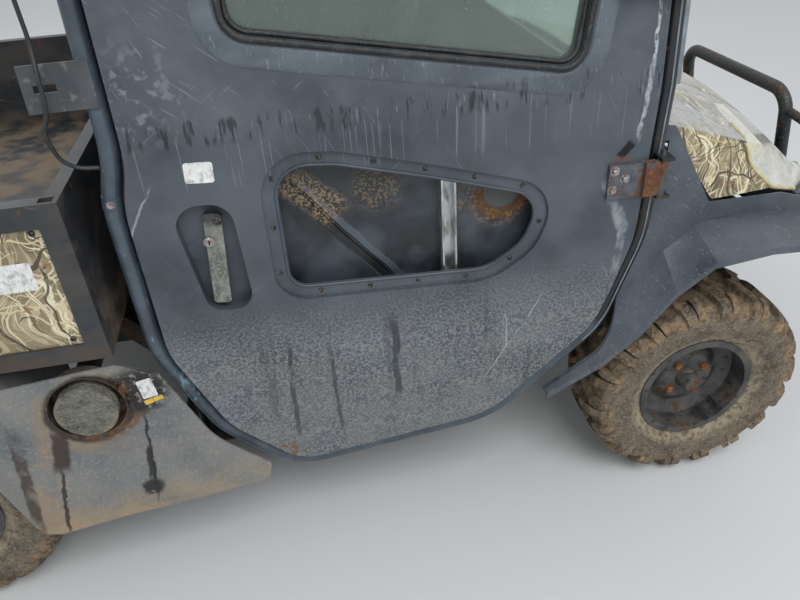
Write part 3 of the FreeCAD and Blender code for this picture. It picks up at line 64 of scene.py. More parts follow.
def zoneMask(tree, axes, where, zones):
    # product of soft edged limits: ("z", 900, 400) is 0 above 900 mm and 1 below 400 mm, x and y likewise,
    # "up" reads the face's normal, "out" the way from the axle; a spot or a hole has a centre and two radii,
    # and a line in side view its two (x, z) ends and its half width
    limits = []
    for kind, start, end, *last in zones:
        if kind in ("spot", "hole"):
            centre, start, end = start, end / 1000, last[0] / 1000
            away = addNode(tree, "VectorMath", {"operation": "DISTANCE"}, {1: [c / 1000 for c in centre]},
                           {0: where})
            limits.append((away.outputs["Value"], start, end, kind == "spot"))
        elif kind == "line":
            start, end = Vector((start[0], 0, start[1])) / 1000, Vector((end[0], 0, end[1])) / 1000
            along = (end - start).normalized()
            shifted = addNode(tree, "VectorMath", {"operation": "SUBTRACT"}, {1: (start + end) / 2},
                              {0: where})
            across = Vector((-along.z, 0, along.x))
            for axis, half in ((across, last[0] / 1000), (along, (end - start).length / 2)):
                off = addNode(tree, "VectorMath", {"operation": "DOT_PRODUCT"}, {1: axis},
                              {0: shifted.outputs[0]})
                off = addNode(tree, "Math", {"operation": "ABSOLUTE"}, {}, {0: off.outputs["Value"]})
                limits.append((off.outputs[0], half * 0.7, half * 1.2, True))
        elif kind == "out":
            radius = addNode(tree, "Attribute", {"attribute_name": "radius"})
            limits.append((radius.outputs["Fac"], start, end, end < start))
        else:
            scale = 1 if kind == "up" else 1000
            limits.append((axes[kind], start / scale, end / scale, end < start))
    mask = None
    for source, start, end, falls in limits:
        soft = addNode(tree, "MapRange", {"interpolation_type": "SMOOTHSTEP"},
                       {"From Min": min(start, end), "From Max": max(start, end), "To Min": float(falls),
                        "To Max": float(not falls)}, {"Value": source}).outputs["Result"]
        if mask is not None:
            soft = addNode(tree, "Math", {"operation": "MULTIPLY"}, {}, {0: mask, 1: soft}).outputs[0]
        mask = soft
    return mask


def stain(size, low, high, colour=None, amount=1.0, *zones, **more):
    # one layer: size of its noise, the noise's values where it starts and is full, sRGB colour, strength, and
    # where it may show; more says rough, metal, relief in mm, turn in degrees, shift, sway, bend, detail, cells
    return dict(more, size=size if isinstance(size, tuple) else (size,) * 3, edge=(low, high), colour=colour,
                amount=amount, zones=zones)


def grain(size, relief, low=0.3, high=0.7):
    return stain(size, low, high, relief=relief)


def makeFinish(name, spec):
    # one dictionary per finish: mottled ground between dark and light, then its layers from the bottom up
    mat = bpy.data.materials.new(name)
    mat.use_nodes = True
    tree = mat.node_tree
    shader = tree.nodes["Principled BSDF"]
    for socket, value in spec["shader"].items():
        shader.inputs[socket].default_value = value
    coords = addNode(tree, "TexCoord").outputs["Object"]
    loose = addNode(tree, "TexNoise", {}, {"Scale": 1000 / spec.get("wobbleSize", 60), "Detail": 3.0},
                    {"Vector": coords})
    centred = addNode(tree, "VectorMath", {"operation": "SUBTRACT"}, {1: (0.5, 0.5, 0.5)},
                      {0: loose.outputs["Color"]})
    scaled = addNode(tree, "VectorMath", {"operation": "SCALE"}, {"Scale": spec["wobble"] / 1000},
                     {0: centred.outputs[0]})
    where = addNode(tree, "VectorMath", {"operation": "ADD"}, {}, {0: coords, 1: scaled.outputs[0]}).outputs[0]
    split = addNode(tree, "SeparateXYZ", {}, {}, {0: where})
    axes = {"x": split.outputs[0], "y": split.outputs[1], "z": split.outputs[2]}
    if spec.get("facing"):
        flat = addNode(tree, "NewGeometry").outputs["True Normal"]
        axes["up"] = addNode(tree, "SeparateXYZ", {}, {}, {0: flat}).outputs[2]
    first = addNode(tree, "TexNoise", {}, {"Scale": 1000 / spec["mottleSize"], "Detail": 5.0, "Roughness": 0.6},
                    {"Vector": coords})
    ground = addNode(tree, "ValToRGB", {}, {}, {"Fac": first.outputs["Fac"]},
                     [(0.35, spec["dark"]), (0.65, spec["light"])])
    ends = {"Base Color": ground.outputs["Color"]}
    for layer in spec["layers"]:
        placed = addNode(tree, "Mapping", {"vector_type": "TEXTURE"},
                         {"Scale": [s / 1000 for s in layer["size"]],
                          "Rotation": [math.radians(a) for a in layer.get("turn", (0, 0, 0))],
                          "Location": [s / 1000 for s in layer.get("shift", (0, 0, 0))]},
                         {"Vector": where if layer.get("sway") else coords}).outputs[0]
        if layer.get("cells"):
            source = addNode(tree, "TexVoronoi", {"feature": layer["cells"]}, {"Scale": 1.0},
                             {"Vector": placed}).outputs["Distance"]
        else:
            source = addNode(tree, "TexNoise", {},
                             {"Scale": 1.0, "Detail": layer.get("detail", 3.0), "Roughness": 0.55,
                              "Distortion": layer.get("bend", 0.0)}, {"Vector": placed}).outputs["Fac"]
        low, high = layer["edge"]
        mask = addNode(tree, "MapRange", {},
                       {"From Min": low, "From Max": high, "To Min": 0.0, "To Max": layer["amount"]},
                       {"Value": source}).outputs["Result"]
        if layer["zones"]:
            limit = zoneMask(tree, axes, where, layer["zones"])
            mask = addNode(tree, "Math", {"operation": "MULTIPLY"}, {}, {0: mask, 1: limit}).outputs[0]
        if layer["colour"]:
            mixed = addNode(tree, "Mix", {"data_type": "RGBA"}, {7: linearColour(layer["colour"])},
                            {0: mask, 6: ends["Base Color"]})
            ends["Base Color"] = mixed.outputs[2]
        for word, socket in (("rough", "Roughness"), ("metal", "Metallic")):
            if word in layer:
                below = {2: ends[socket]} if socket in ends else {}
                mixed = addNode(tree, "Mix", {"data_type": "FLOAT"},
                                {2: spec["shader"].get(socket, 0.0), 3: layer[word]}, {0: mask, **below})
                ends[socket] = mixed.outputs[0]
        if layer.get("relief"):
            below = {"Normal": ends["Normal"]} if "Normal" in ends else {}
            raised = addNode(tree, "Bump", {"invert": layer["relief"] < 0},
                             {"Distance": abs(layer["relief"]) / 1000, "Strength": 1.0},
                             {"Height": mask, **below})
            ends["Normal"] = raised.outputs["Normal"]
    for socket, source in ends.items():
        tree.links.new(source, shader.inputs[socket])
    return mat


# Charcoal polyethylene, vacuum formed: dull satin skin, chalky scratches, salt and road dust low down,
# dark drips
doorPlastic = makeFinish("vacuum_formed_polyethylene_charcoal", {
    "slot": "door_plastic", "dark": "#363c44", "light": "#4a515a", "mottleSize": 160,
    "wobble": 16, "wobbleSize": 40, "shader": {"Roughness": 0.42, "IOR": 1.51}, "layers": [
        stain(260, 0.44, 0.64, "#565d65", 0.5, rough=0.55),
        stain(6, 0.42, 0.6, "#8b8d8c", 0.72, ("z", 860, 640), rough=0.85),
        stain(110, 0.42, 0.6, "#7e7f7b", 0.35, ("z", 760, 480), rough=0.85),
        stain((5, 5, 500), 0.62, 0.66, "#7f868d", 0.45, ("z", 1095, 1120), ("z", 1250, 1225)),
        stain((160, 7, 3.5), 0.64, 0.7, "#8f969b", 0.5, ("spot", (-190, -744, 1380), 60, 230),
              turn=(0, 40, 0)),
        stain(22, 0.54, 0.64, "#868d92", 0.5, ("spot", (-250, -744, 1300), 20, 130), rough=0.7),
        stain((240, 9, 3), 0.71, 0.75, "#8e9599", 0.6, turn=(0, -34, 0)),
        stain((400, 9, 2.5), 0.71, 0.74, "#959b9f", 0.6, turn=(0, 62, 0)),
        stain(40, 0.36, 0.48, "#a0a6aa", 0.6, ("line", (560, 735), (430, 500), 1.8)),
        stain(40, 0.3, 0.44, "#a0a6aa", 0.6, ("line", (470, 700), (476, 575), 1.8)),
        stain(40, 0.36, 0.48, "#9aa0a4", 0.6, ("line", (-326, 1016), (-262, 1120), 2.4)),
        stain((26, 26, 60), 0.3, 0.5, "#24292f", 0.75, ("line", (-53, 700), (-69, 391), 6), rough=0.35),
        stain((26, 26, 60), 0.3, 0.5, "#24292f", 0.8, ("line", (197, 740), (196, 470), 9), rough=0.35),
        stain((26, 26, 60), 0.34, 0.5, "#24292f", 0.7, ("line", (39, 690), (44, 364), 5), rough=0.35),
        stain((34, 34, 500), 0.6, 0.68, "#2b3036", 0.4, ("z", 360, 480), ("z", 800, 700), rough=0.4),
        stain((11, 11, 90), 0.55, 0.62, "#16191c", 0.8, ("z", 1185, 1205), ("z", 1248, 1235), rough=0.3),
        stain((9, 9, 14), 0.36, 0.56, "#b3b9bd", 0.85, ("line", (772, 1400), (766, 1250), 4), rough=0.7),
        stain((9, 9, 14), 0.36, 0.56, "#a4abb0", 0.8, ("line", (766, 1260), (750, 1095), 5), rough=0.7),
        stain((30, 30, 40), 0.36, 0.6, "#949b9f", 0.7, ("line", (690, 1010), (744, 880), 15), rough=0.75),
        stain((30, 30, 40), 0.36, 0.6, "#949b9f", 0.7, ("line", (744, 890), (735, 760), 10), rough=0.75),
        stain(300, 0.0, 0.1, "#0d0e0f", 1.0, ("line", (738, 1090), (712, 1060), 11), rough=0.9),
        stain(14, 0.4, 0.56, "#6b432c", 0.8, ("line", (740, 1056), (690, 1056), 7), rough=0.9),
        stain(16, 0.46, 0.6, "#6f4a33", 0.8, ("spot", (-105, -735, 335), 25, 60), rough=0.9),
        grain(2.4, 0.1),
        grain(190, 5.0)]})

# Inner skin of the door: the same sheet, black, a pressed rib across it with painted shade in its groove and a
# painted highlight on its ridge, clay dust in its top, rust round the pull
linerPlastic = makeFinish("vacuum_formed_polyethylene_inner", {
    "dark": "#14171a", "light": "#2b3036", "mottleSize": 130, "wobble": 14,
    "shader": {"Roughness": 0.45, "IOR": 1.51}, "layers": [
        stain(140, 0.45, 0.62, "#454d56", 0.7),
        # the rib: groove and ridge are bumps; the dark line is painted shade in the groove, the light line a
        # painted highlight on the ridge
        stain(900, 0.0, 0.1, "#0c0e10", 0.85, ("line", (-10, 1076), (205, 800), 10), relief=-5.0),
        stain(900, 0.0, 0.1, "#535c65", 0.6, ("line", (14, 1084), (229, 808), 9), relief=6.0),
        stain(5, 0.44, 0.58, "#8d7a60", 0.85, ("line", (-30, 1110), (105, 985), 38), rough=0.95),
        stain(5, 0.48, 0.6, "#806f58", 0.8, ("spot", (190, -692, 1040), 20, 75), rough=0.95),
        stain(5, 0.48, 0.6, "#7d6e5a", 0.7, ("spot", (380, -692, 1000), 20, 80), rough=0.95),
        stain(14, 0.3, 0.5, "#5d4026", 1.0, ("spot", (466, -692, 984), 58, 68),
              ("hole", (466, -692, 992), 36, 46), ("z", 1020, 1000), rough=0.95, relief=0.6),
        stain(8, 0.5, 0.64, "#8c6c44", 0.7, ("spot", (462, -692, 976), 60, 78),
              ("hole", (466, -692, 992), 44, 52), rough=0.95),
        stain(40, 0.1, 0.3, "#4c4d4a", 1.0, ("spot", (466, -692, 992), 38, 46)),
        grain(2.4, 0.1)]})

# Moulded polypropylene at the front: slate grey, nearly clean
frontPlastic = makeFinish("moulded_polypropylene_slate", {
    "dark": "#3b4149", "light": "#4c535b", "mottleSize": 150, "wobble": 60,
    "shader": {"Roughness": 0.42, "IOR": 1.5}, "layers": [
        stain(200, 0.44, 0.64, "#5a6067", 0.5, rough=0.55),
        stain((80, 80, 160), 0.46, 0.62, "#6d6a66", 0.6, ("z", 640, 430), rough=0.8),
        stain(9, 0.6, 0.7, "#7d8084", 0.3, rough=0.8),
        stain((160, 8, 4), 0.66, 0.71, "#9da2a5", 0.5, turn=(0, 40, 0)),
        stain(30, 0.54, 0.66, "#22262b", 0.6, ("z", 560, 470)),
        grain(2.4, 0.1),
        grain(220, 2.5)]})

# The rear fenders: the same plastic under a film of dried clay water, tan at the edges, two wet dark runs
fenderPlastic = makeFinish("moulded_polypropylene_clay_film", {
    "dark": "#565c62", "light": "#6e7273", "mottleSize": 150, "wobble": 16, "wobbleSize": 24,
    "shader": {"Roughness": 0.5, "IOR": 1.5}, "layers": [
        stain(170, 0.4, 0.62, "#7d7c77", 0.7, rough=0.75),
        stain((110, 110, 60), 0.3, 0.6, "#9a8668", 0.8, ("z", 380, 262), rough=0.85),
        stain((90, 90, 120), 0.4, 0.6, "#a08160", 0.7, ("line", (-640, 560), (-700, 250), 45), rough=0.85),
        stain(7, 0.5, 0.66, "#969288", 0.45, rough=0.9),
        stain(70, 0.38, 0.58, "#8a7a62", 0.75, ("spot", (-522, -760, 600), 90, 150), rough=0.9),
        stain(30, 0.15, 0.4, "#2a211b", 0.95, ("spot", (-520, -760, 616), 92, 104), rough=0.6),
        stain(20, 0.4, 0.55, "#6b4c33", 0.9, ("spot", (-500, -760, 604), 84, 96), rough=0.8),
        stain(400, 0.0, 0.1, "#1a1816", 0.93, ("line", (-412, 575), (-447, 283), 3.5), rough=0.3),
        stain(400, 0.0, 0.1, "#1a1816", 0.93, ("line", (-426, 470), (-443, 360), 8), rough=0.3),
        stain(26, 0.3, 0.42, "#1a1816", 0.95, ("spot", (-447, -762, 332), 20, 36), rough=0.3),
        stain(26, 0.2, 0.34, "#33261d", 0.95, ("line", (-600, 575), (-626, 455), 18), rough=0.35),
        stain(400, 0.0, 0.1, "#2a211b", 0.93, ("line", (-626, 465), (-673, 248), 4.5), rough=0.35),
        stain(60, 0.3, 0.5, "#3a2f26", 0.9, ("line", (-690, 600), (-745, 240), 16), rough=0.6),
        stain(13, 0.38, 0.46, "#0e0f10", 0.97, ("spot", (-408, -760, 636), 48, 88), rough=0.25),
        stain(14, 0.44, 0.54, "#5f442c", 0.9, ("spot", (-446, -760, 656), 12, 30), rough=0.9),
        grain(2.4, 0.12),
        grain(240, 3.0)]})

# Blue grey powder coat on round tube: thin gloss, chipped at the lower bend, black where the front seals
# sit on it
tubeSteel = makeFinish("powder_coated_tube_blue_grey", {
    "slot": "tube_steel", "dark": "#39434d", "light": "#4b5762", "mottleSize": 70, "wobble": 24,
    "shader": {"Roughness": 0.34, "IOR": 1.5, "Coat Weight": 0.15, "Coat Roughness": 0.3}, "layers": [
        stain(120, 0.5, 0.66, "#2b333b", 0.7),
        stain((14, 14, 90), 0.66, 0.71, "#98a2a9", 0.6, rough=0.6),
        stain((16, 16, 30), 0.52, 0.62, "#7fa0ab", 0.6, ("spot", (-290, -710, 600), 30, 100), rough=0.5),
        stain(400, 0.05, 0.2, "#101215", 0.93, ("x", 690, 730), ("z", 560, 620), rough=0.35),
        stain((20, 20, 60), 0.44, 0.6, "#5a3d2b", 0.8, ("spot", (806, -715, 940), 40, 95), rough=0.9),
        stain(30, 0.66, 0.71, "#5e3a22", 0.8, rough=0.9),
        grain(8, 0.1, 0.35, 0.65)]})

# Black enamel on pressed and welded steel: dull, dusty, rust through at edges
blackSteel = makeFinish("black_enamelled_steel", {
    "dark": "#17191b", "light": "#272a2d", "mottleSize": 80, "wobble": 60,
    "shader": {"Roughness": 0.45, "IOR": 1.5}, "layers": [
        stain(150, 0.46, 0.64, "#4b4641", 0.6, rough=0.8),
        stain(30, 0.58, 0.66, "#5e3a22", 0.85, rough=0.9),
        stain(7, 0.55, 0.68, "#7a7268", 0.5, rough=0.9),
        grain(2.5, 0.12)]})

# The same enamel under the vehicle, coated with dried clay
muddySteel = makeFinish("black_steel_with_dried_clay", {
    "dark": "#1d1e1f", "light": "#34322f", "mottleSize": 70, "wobble": 60,
    "shader": {"Roughness": 0.6, "IOR": 1.5}, "layers": [
        stain(80, 0.42, 0.6, "#6a5744", 0.85, rough=0.95, relief=1.0),
        stain(22, 0.56, 0.66, "#6f4223", 0.8, rough=0.9),
        stain(6, 0.5, 0.7, "#857260", 0.5, relief=0.3)]})

# Black bed steel, brown with dried mud on the low lip and inside
bedSteel = makeFinish("powder_coated_bed_steel", {
    "dark": "#202225", "light": "#33363a", "mottleSize": 90, "wobble": 70,
    "shader": {"Roughness": 0.5, "IOR": 1.5}, "layers": [
        stain((160, 160, 90), 0.5, 0.66, "#4e4943", 0.6, rough=0.85),
        stain((60, 60, 40), 0.36, 0.56, "#4a4038", 0.85, ("z", 800, 775), rough=0.9),
        stain((90, 90, 60), 0.4, 0.6, "#7a6a57", 0.8, ("z", 900, 815), ("y", -765, -735), ("y", 765, 735),
              rough=0.95),
        stain((90, 6, 5), 0.7, 0.75, "#8b8b88", 0.5, turn=(0, 20, 0), rough=0.4),
        stain(24, 0.66, 0.71, "#6a4228", 0.8, rough=0.9),
        grain(3, 0.15)]})

# Printed film moulded on plastic: dry stems and leaves of no special plant over brown shade,
# under a clear coat; what faces up carries a painted grey reflection of the sky over the print
reedPrint = makeFinish("printed_film_on_plastic_reeds", {
    "dark": "#6b5e47", "light": "#97896b", "mottleSize": 90, "wobble": 330, "wobbleSize": 300, "facing": True,
    "shader": {"Roughness": 0.4, "IOR": 1.5, "Coat Weight": 0.3, "Coat Roughness": 0.25}, "layers": [
        stain((170, 170, 100), 0.46, 0.6, "#a89c7c", 0.8, turn=(0, 15, 20)),
        stain((150, 110, 70), 0.55, 0.62, "#51452f", 0.75, turn=(20, -48, 10), bend=0.6),
        stain((110, 60, 6), 0.5, 0.58, "#7a6b4c", 0.6, turn=(8, 34, 14), detail=1.0, sway=True),
        stain((100, 60, 5), 0.54, 0.6, "#bdb190", 0.55, turn=(4, -64, 14), detail=1.0, sway=True),
        stain((230, 90, 26), 0.63, 0.64, "#b9ab86", 0.95, turn=(-6, 58, -18), detail=0.5, sway=True),
        stain((230, 90, 26), 0.665, 0.672, "#5d4f38", 0.9, turn=(-6, 58, -18), shift=(0, 0, 4), detail=0.5,
              sway=True),
        stain((210, 90, 18), 0.63, 0.64, "#86775a", turn=(6, -30, 22), detail=0.5, sway=True),
        stain((320, 90, 6), 0.645, 0.655, "#d2c7a6", 0.95, turn=(4, -56, 26), detail=0.3, sway=True),
        stain((300, 90, 5), 0.65, 0.66, "#dbd3b8", 0.95, turn=(-4, 64, -30), detail=0.3, sway=True),
        stain((280, 90, 5), 0.66, 0.67, "#c9bc97", 0.9, turn=(-4, 8, 12), detail=0.3, sway=True),
        stain((340, 90, 8), 0.665, 0.675, "#362c1e", 0.9, turn=(10, -12, 8), detail=0.3, sway=True),
        stain((320, 90, 7), 0.66, 0.67, "#3d3224", 0.9, turn=(10, 84, 8), detail=0.3, sway=True),
        stain((60, 40, 26), 0.67, 0.69, "#93613c", 0.8, turn=(0, 10, 0), bend=0.8),
        stain((80, 44, 30), 0.67, 0.69, "#6d6f4b", 0.7, turn=(0, 60, 0), bend=0.8),
        # painted reflection: a grey reflection of the sky painted on the faces that look up
        stain((380, 110, 300), 0.28, 0.56, "#a3a7ab", 0.76, ("up", 0.45, 0.8), bend=0.7, sway=True,
              rough=0.5),
        stain((900, 34, 900), 0.4, 0.6, None, 1.0, ("up", 0.5, 0.8), relief=4.0),
        stain(24, 0.58, 0.74, "#8a7c68", 0.45, rough=0.8),
        grain(3, 0.06)]})

# Natural rubber tread and sidewall: pale dust ring by the bead, tan clay on the blocks, black where it has
# rubbed
tyreRubber = makeFinish("carbon_black_tyre_rubber", {
    "slot": "tyre_rubber", "dark": "#3b3732", "light": "#5b544a", "mottleSize": 60, "wobble": 30,
    "shader": {"Roughness": 0.85, "IOR": 1.52}, "layers": [
        stain(70, 0.36, 0.6, "#75695a", 0.7),
        stain(40, 0.4, 0.6, "#8c7454", 0.85, ("out", 240, 268), relief=0.6),
        stain(60, 0.46, 0.6, "#2a2622", 0.85, ("out", 275, 300)),
        stain(50, 0.3, 0.55, "#978c76", 0.85, ("out", 205, 180)),
        stain(16, 0.5, 0.62, "#4d3a28", 0.75, relief=0.6),
        stain(7, 0.52, 0.68, "#938772", 0.6, relief=0.3),
        grain(3, 0.15)]})

# Black enamelled pressed wheel: grey film of dust, dull rust where stones have struck
rimSteel = makeFinish("black_enamelled_wheel_steel", {
    "dark": "#26282a", "light": "#3a3c3f", "mottleSize": 50, "wobble": 30,
    "shader": {"Roughness": 0.4, "IOR": 1.5}, "layers": [
        stain(60, 0.42, 0.62, "#5b5750", 0.75, rough=0.85),
        stain(60, 0.61, 0.67, "#4f3728", 0.9, rough=0.95, relief=0.3),
        stain(16, 0.67, 0.71, "#694531", 0.8, rough=0.95),
        stain(20, 0.6, 0.66, "#151617", 0.8)]})

# Float glass with a green tint: thin, nearly clear, specks of dry water
cabGlass = makeFinish("tinted_float_glass", {
    "dark": "#cde3d8", "light": "#e0f0e8", "mottleSize": 300, "wobble": 30,
    "shader": {"Roughness": 0.03, "IOR": 1.5, "Transmission Weight": 0.92}, "layers": [
        stain(9, 0.66, 0.72, "#e8eeea", 0.6, rough=0.5),
        stain(160, 0.45, 0.75, rough=0.1)]})

# Clear polycarbonate over a white bowl: milky at the edges, yellowed along the rim
lampLens = makeFinish("clear_polycarbonate_lens", {
    "dark": "#c6c8c0", "light": "#dcddd5", "mottleSize": 60, "wobble": 20,
    "shader": {"Roughness": 0.16, "IOR": 1.58, "Transmission Weight": 0.25, "Coat Weight": 0.5,
               "Coat Roughness": 0.05}, "layers": [
        stain(60, 0.4, 0.6, "#d8d0a8", 0.6, ("z", 925, 985)),
        stain(9, 0.5, 0.64, "#a7a594", 0.5),
        stain(40, 0.45, 0.65, "#b9ae97", 0.4, rough=0.5)]})

# Butyl sealant round the lamps, pale yellow with age
lampSealant = makeFinish("aged_butyl_sealant", {
    "slot": "lamp_lens", "dark": "#b3a878", "light": "#cbc193", "mottleSize": 30, "wobble": 12,
    "shader": {"Roughness": 0.5, "IOR": 1.5}, "layers": [
        stain(20, 0.5, 0.64, "#8f8460", 0.6)]})

# Anodised pillar cover beside the seals, dull silver grey
coverStrip = makeFinish("anodised_aluminium_strip", {
    "slot": "bare_steel", "dark": "#767d84", "light": "#8b9299", "mottleSize": 40, "wobble": 20,
    "shader": {"Roughness": 0.4, "Metallic": 0.5}, "layers": [
        stain((30, 30, 120), 0.5, 0.66, "#5b626a", 0.6, rough=0.6, metal=0.2)]})

# The door's sheet where it stands raised round the window: the same plastic made lighter as a painted highlight
bandPlastic = makeFinish("vacuum_formed_polyethylene_painted_highlight", {
    "slot": "door_plastic", "dark": "#40474f", "light": "#565e67", "mottleSize": 140, "wobble": 60,
    "shader": {"Roughness": 0.4, "IOR": 1.51}, "layers": [
        stain((200, 200, 60), 0.44, 0.62, "#646c74", 0.6, rough=0.5),
        stain((11, 11, 90), 0.56, 0.63, "#1b1f23", 0.7, ("z", 1262, 1240)),
        stain((5, 5, 60), 0.62, 0.68, "#878e94", 0.5),
        grain(2.4, 0.1)]})

# Olive passivated zinc of the hub caps under dust
hubZinc = makeFinish("passivated_zinc_olive", {
    "slot": "hinge_steel", "dark": "#4d4c40", "light": "#6a6857", "mottleSize": 20, "wobble": 10,
    "shader": {"Roughness": 0.55, "Metallic": 0.3}, "layers": [
        stain(20, 0.46, 0.62, "#7c7561", 0.7, rough=0.85, metal=0.0),
        stain(9, 0.56, 0.66, "#4f3826", 0.7, rough=0.9, metal=0.0)]})

# Red acrylic with moulded prisms 6 mm apart
tailLens = makeFinish("red_acrylic_lens", {
    "dark": "#8c1512", "light": "#a81c17", "mottleSize": 40, "wobble": 10,
    "shader": {"Roughness": 0.15, "IOR": 1.49, "Coat Weight": 0.4}, "layers": [
        grain((6, 6, 200), 0.6, 0.4, 0.6),
        stain(30, 0.5, 0.65, "#6f4a3a", 0.5, rough=0.6)]})

# Sand cast aluminium: grey, granular, oily dust
castAluminium = makeFinish("sand_cast_aluminium", {
    "dark": "#6f7173", "light": "#8b8d8f", "mottleSize": 60, "wobble": 30,
    "shader": {"Roughness": 0.55, "Metallic": 0.8}, "layers": [
        stain(50, 0.42, 0.62, "#5c4c3d", 0.8, rough=0.9, metal=0.1),
        grain(2, 0.3)]})

# Grey iron and steel under black engine paint
engineIron = makeFinish("painted_grey_iron", {
    "dark": "#2b2d2f", "light": "#414446", "mottleSize": 60, "wobble": 30,
    "shader": {"Roughness": 0.55, "Metallic": 0.2}, "layers": [
        stain(60, 0.45, 0.62, "#5a4a3c", 0.8, rough=0.9),
        stain(25, 0.56, 0.64, "#7a4524", 0.8, rough=0.9),
        grain(3, 0.25)]})

# Bright rolled aluminium channel: fine lines along it, grime in the corners
rolledAluminium = makeFinish("rolled_aluminium_channel", {
    "dark": "#b4b7b9", "light": "#cfd2d3", "mottleSize": 40, "wobble": 20,
    "shader": {"Roughness": 0.3, "Metallic": 0.9}, "layers": [
        stain((1.6, 1.6, 160), 0.45, 0.6, "#8f9294", 0.6),
        stain((20, 20, 70), 0.5, 0.62, "#5e5042", 0.75, rough=0.85, metal=0.0)]})

# Zinc plated hinge steel: grey at the back, the front half gone to orange rust
hingeSteel = makeFinish("zinc_plated_steel_rusting", {
    "dark": "#4c5155", "light": "#676c70", "mottleSize": 30, "wobble": 22, "wobbleSize": 20,
    "shader": {"Roughness": 0.42, "Metallic": 0.55}, "layers": [
        stain(30, 0.32, 0.5, "#573a29", 1.0, ("line", (802, 1060), (770, 930), 26), rough=0.92, metal=0.0,
              relief=0.4),
        stain(12, 0.48, 0.6, "#7a4f33", 0.8, ("line", (802, 1060), (776, 930), 20), rough=0.95, metal=0.0),
        stain(16, 0.55, 0.64, "#5c3a24", 0.8, rough=0.9, metal=0.0)]})

# Grey die cast handle, enamel dusty and worn at the edges of the paddle
handleMetal = makeFinish("painted_zinc_die_casting", {
    "dark": "#6f706a", "light": "#86877f", "mottleSize": 24, "wobble": 10,
    "shader": {"Roughness": 0.45, "Metallic": 0.25}, "layers": [
        stain((14, 14, 40), 0.5, 0.62, "#55564f", 0.7),
        stain(5, 0.58, 0.66, "#a9aaa2", 0.7, rough=0.35),
        stain(30, 0.3, 0.5, "#24262a", 0.85, ("z", 1012, 1026))]})

# Fuel cap: black plastic under old grey dust
capPlastic = makeFinish("moulded_cap_plastic_dusty", {
    "dark": "#4b4b46", "light": "#63635c", "mottleSize": 45, "wobble": 20,
    "shader": {"Roughness": 0.7, "IOR": 1.5}, "layers": [
        stain(40, 0.46, 0.62, "#787464", 0.7),
        stain(60, 0.52, 0.64, "#2f2f2d", 0.7),
        stain(5, 0.45, 0.65, "#85806f", 0.5, relief=0.3),
        grain(46, 9.0)]})

# Moulded black plastic of dash, floor and column: pebble grain 1.5 mm, dusty
innerPlastic = makeFinish("grained_polypropylene_black", {
    "dark": "#232527", "light": "#303336", "mottleSize": 120, "wobble": 60,
    "shader": {"Roughness": 0.6, "IOR": 1.5}, "layers": [
        stain(90, 0.45, 0.65, "#57524b", 0.5, rough=0.85),
        grain(1.8, 0.2, 0.35, 0.65)]})

# Moulded polyethylene of the roof and the cab's rear wall: dark grey, water marks
roofPlastic = makeFinish("moulded_roof_polyethylene", {
    "dark": "#2c3034", "light": "#3d4246", "mottleSize": 160, "wobble": 60,
    "shader": {"Roughness": 0.5, "IOR": 1.51}, "layers": [
        stain(220, 0.42, 0.62, "#62666a", 0.5, rough=0.7),
        stain((30, 300, 30), 0.56, 0.66, "#80817c", 0.5, rough=0.8),
        grain(2.4, 0.15)]})

# Bare ground steel of the cylinder's rod, rust where mud has lain
springSteel = makeFinish("bare_ground_steel", {
    "dark": "#7e8285", "light": "#9a9da0", "mottleSize": 30, "wobble": 20,
    "shader": {"Roughness": 0.32, "Metallic": 0.9}, "layers": [
        stain(40, 0.46, 0.6, "#5b4634", 0.85, rough=0.9, metal=0.0),
        stain(8, 0.55, 0.65, "#7d4420", 0.7, rough=0.9, metal=0.0)]})

# Cable jacket: soft black PVC with a fine grain along it
cableJacket = makeFinish("black_pvc_cable_jacket", {
    "dark": "#121314", "light": "#1d1f20", "mottleSize": 20, "wobble": 10,
    "shader": {"Roughness": 0.5, "IOR": 1.53}, "layers": [
        stain((3, 3, 14), 0.5, 0.66, "#3a3a38", 0.7)]})

# Extruded EPDM seal: dead black, bloomed grey on the crown
sealRubber = makeFinish("epdm_seal_rubber", {
    "slot": "cable_jacket", "dark": "#0e0f10", "light": "#191b1c", "mottleSize": 30, "wobble": 20,
    "shader": {"Roughness": 0.6, "IOR": 1.52}, "layers": [
        stain(50, 0.5, 0.66, "#3b3d3e", 0.6, rough=0.8),
        stain(4, 0.55, 0.7, "#6a6a66", 0.4)]})

# White vinyl sheet with a grey film of grime
whiteVinyl = makeFinish("white_vinyl_film", {
    "slot": "seat_vinyl", "dark": "#cfd0cd", "light": "#e4e4e1", "mottleSize": 20, "wobble": 10,
    "shader": {"Roughness": 0.4, "IOR": 1.5}, "layers": [
        stain((10, 10, 16), 0.5, 0.66, "#85837e", 0.6, rough=0.7),
        stain((2, 2, 14), 0.6, 0.68, "#5f5d59", 0.6)]})

# Yellow vinyl sheet, faded
yellowVinyl = makeFinish("yellow_vinyl_film", {
    "slot": "seat_vinyl", "dark": "#c9a63a", "light": "#d9b94e", "mottleSize": 15, "wobble": 8,
    "shader": {"Roughness": 0.45, "IOR": 1.5}, "layers": [
        stain(9, 0.48, 0.62, "#5d5140", 0.8, rough=0.8)]})

# Bright zinc on screws and bolts: pale grey metal, brown bloom round the heads
boltZinc = makeFinish("zinc_plated_fasteners", {
    "slot": "bare_steel", "dark": "#8b8f92", "light": "#a6a9ab", "mottleSize": 8, "wobble": 6,
    "shader": {"Roughness": 0.35, "Metallic": 0.85}, "layers": [
        stain(7, 0.48, 0.6, "#7a4a29", 0.85, rough=0.9, metal=0.0)]})

# Black oxide screws in the plastic
screwBlack = makeFinish("black_oxide_screws", {
    "dark": "#191a1b", "light": "#2b2d2e", "mottleSize": 6, "wobble": 4,
    "shader": {"Roughness": 0.5, "Metallic": 0.5}, "layers": [
        stain(5, 0.5, 0.62, "#75695c", 0.8, rough=0.9, metal=0.0)]})

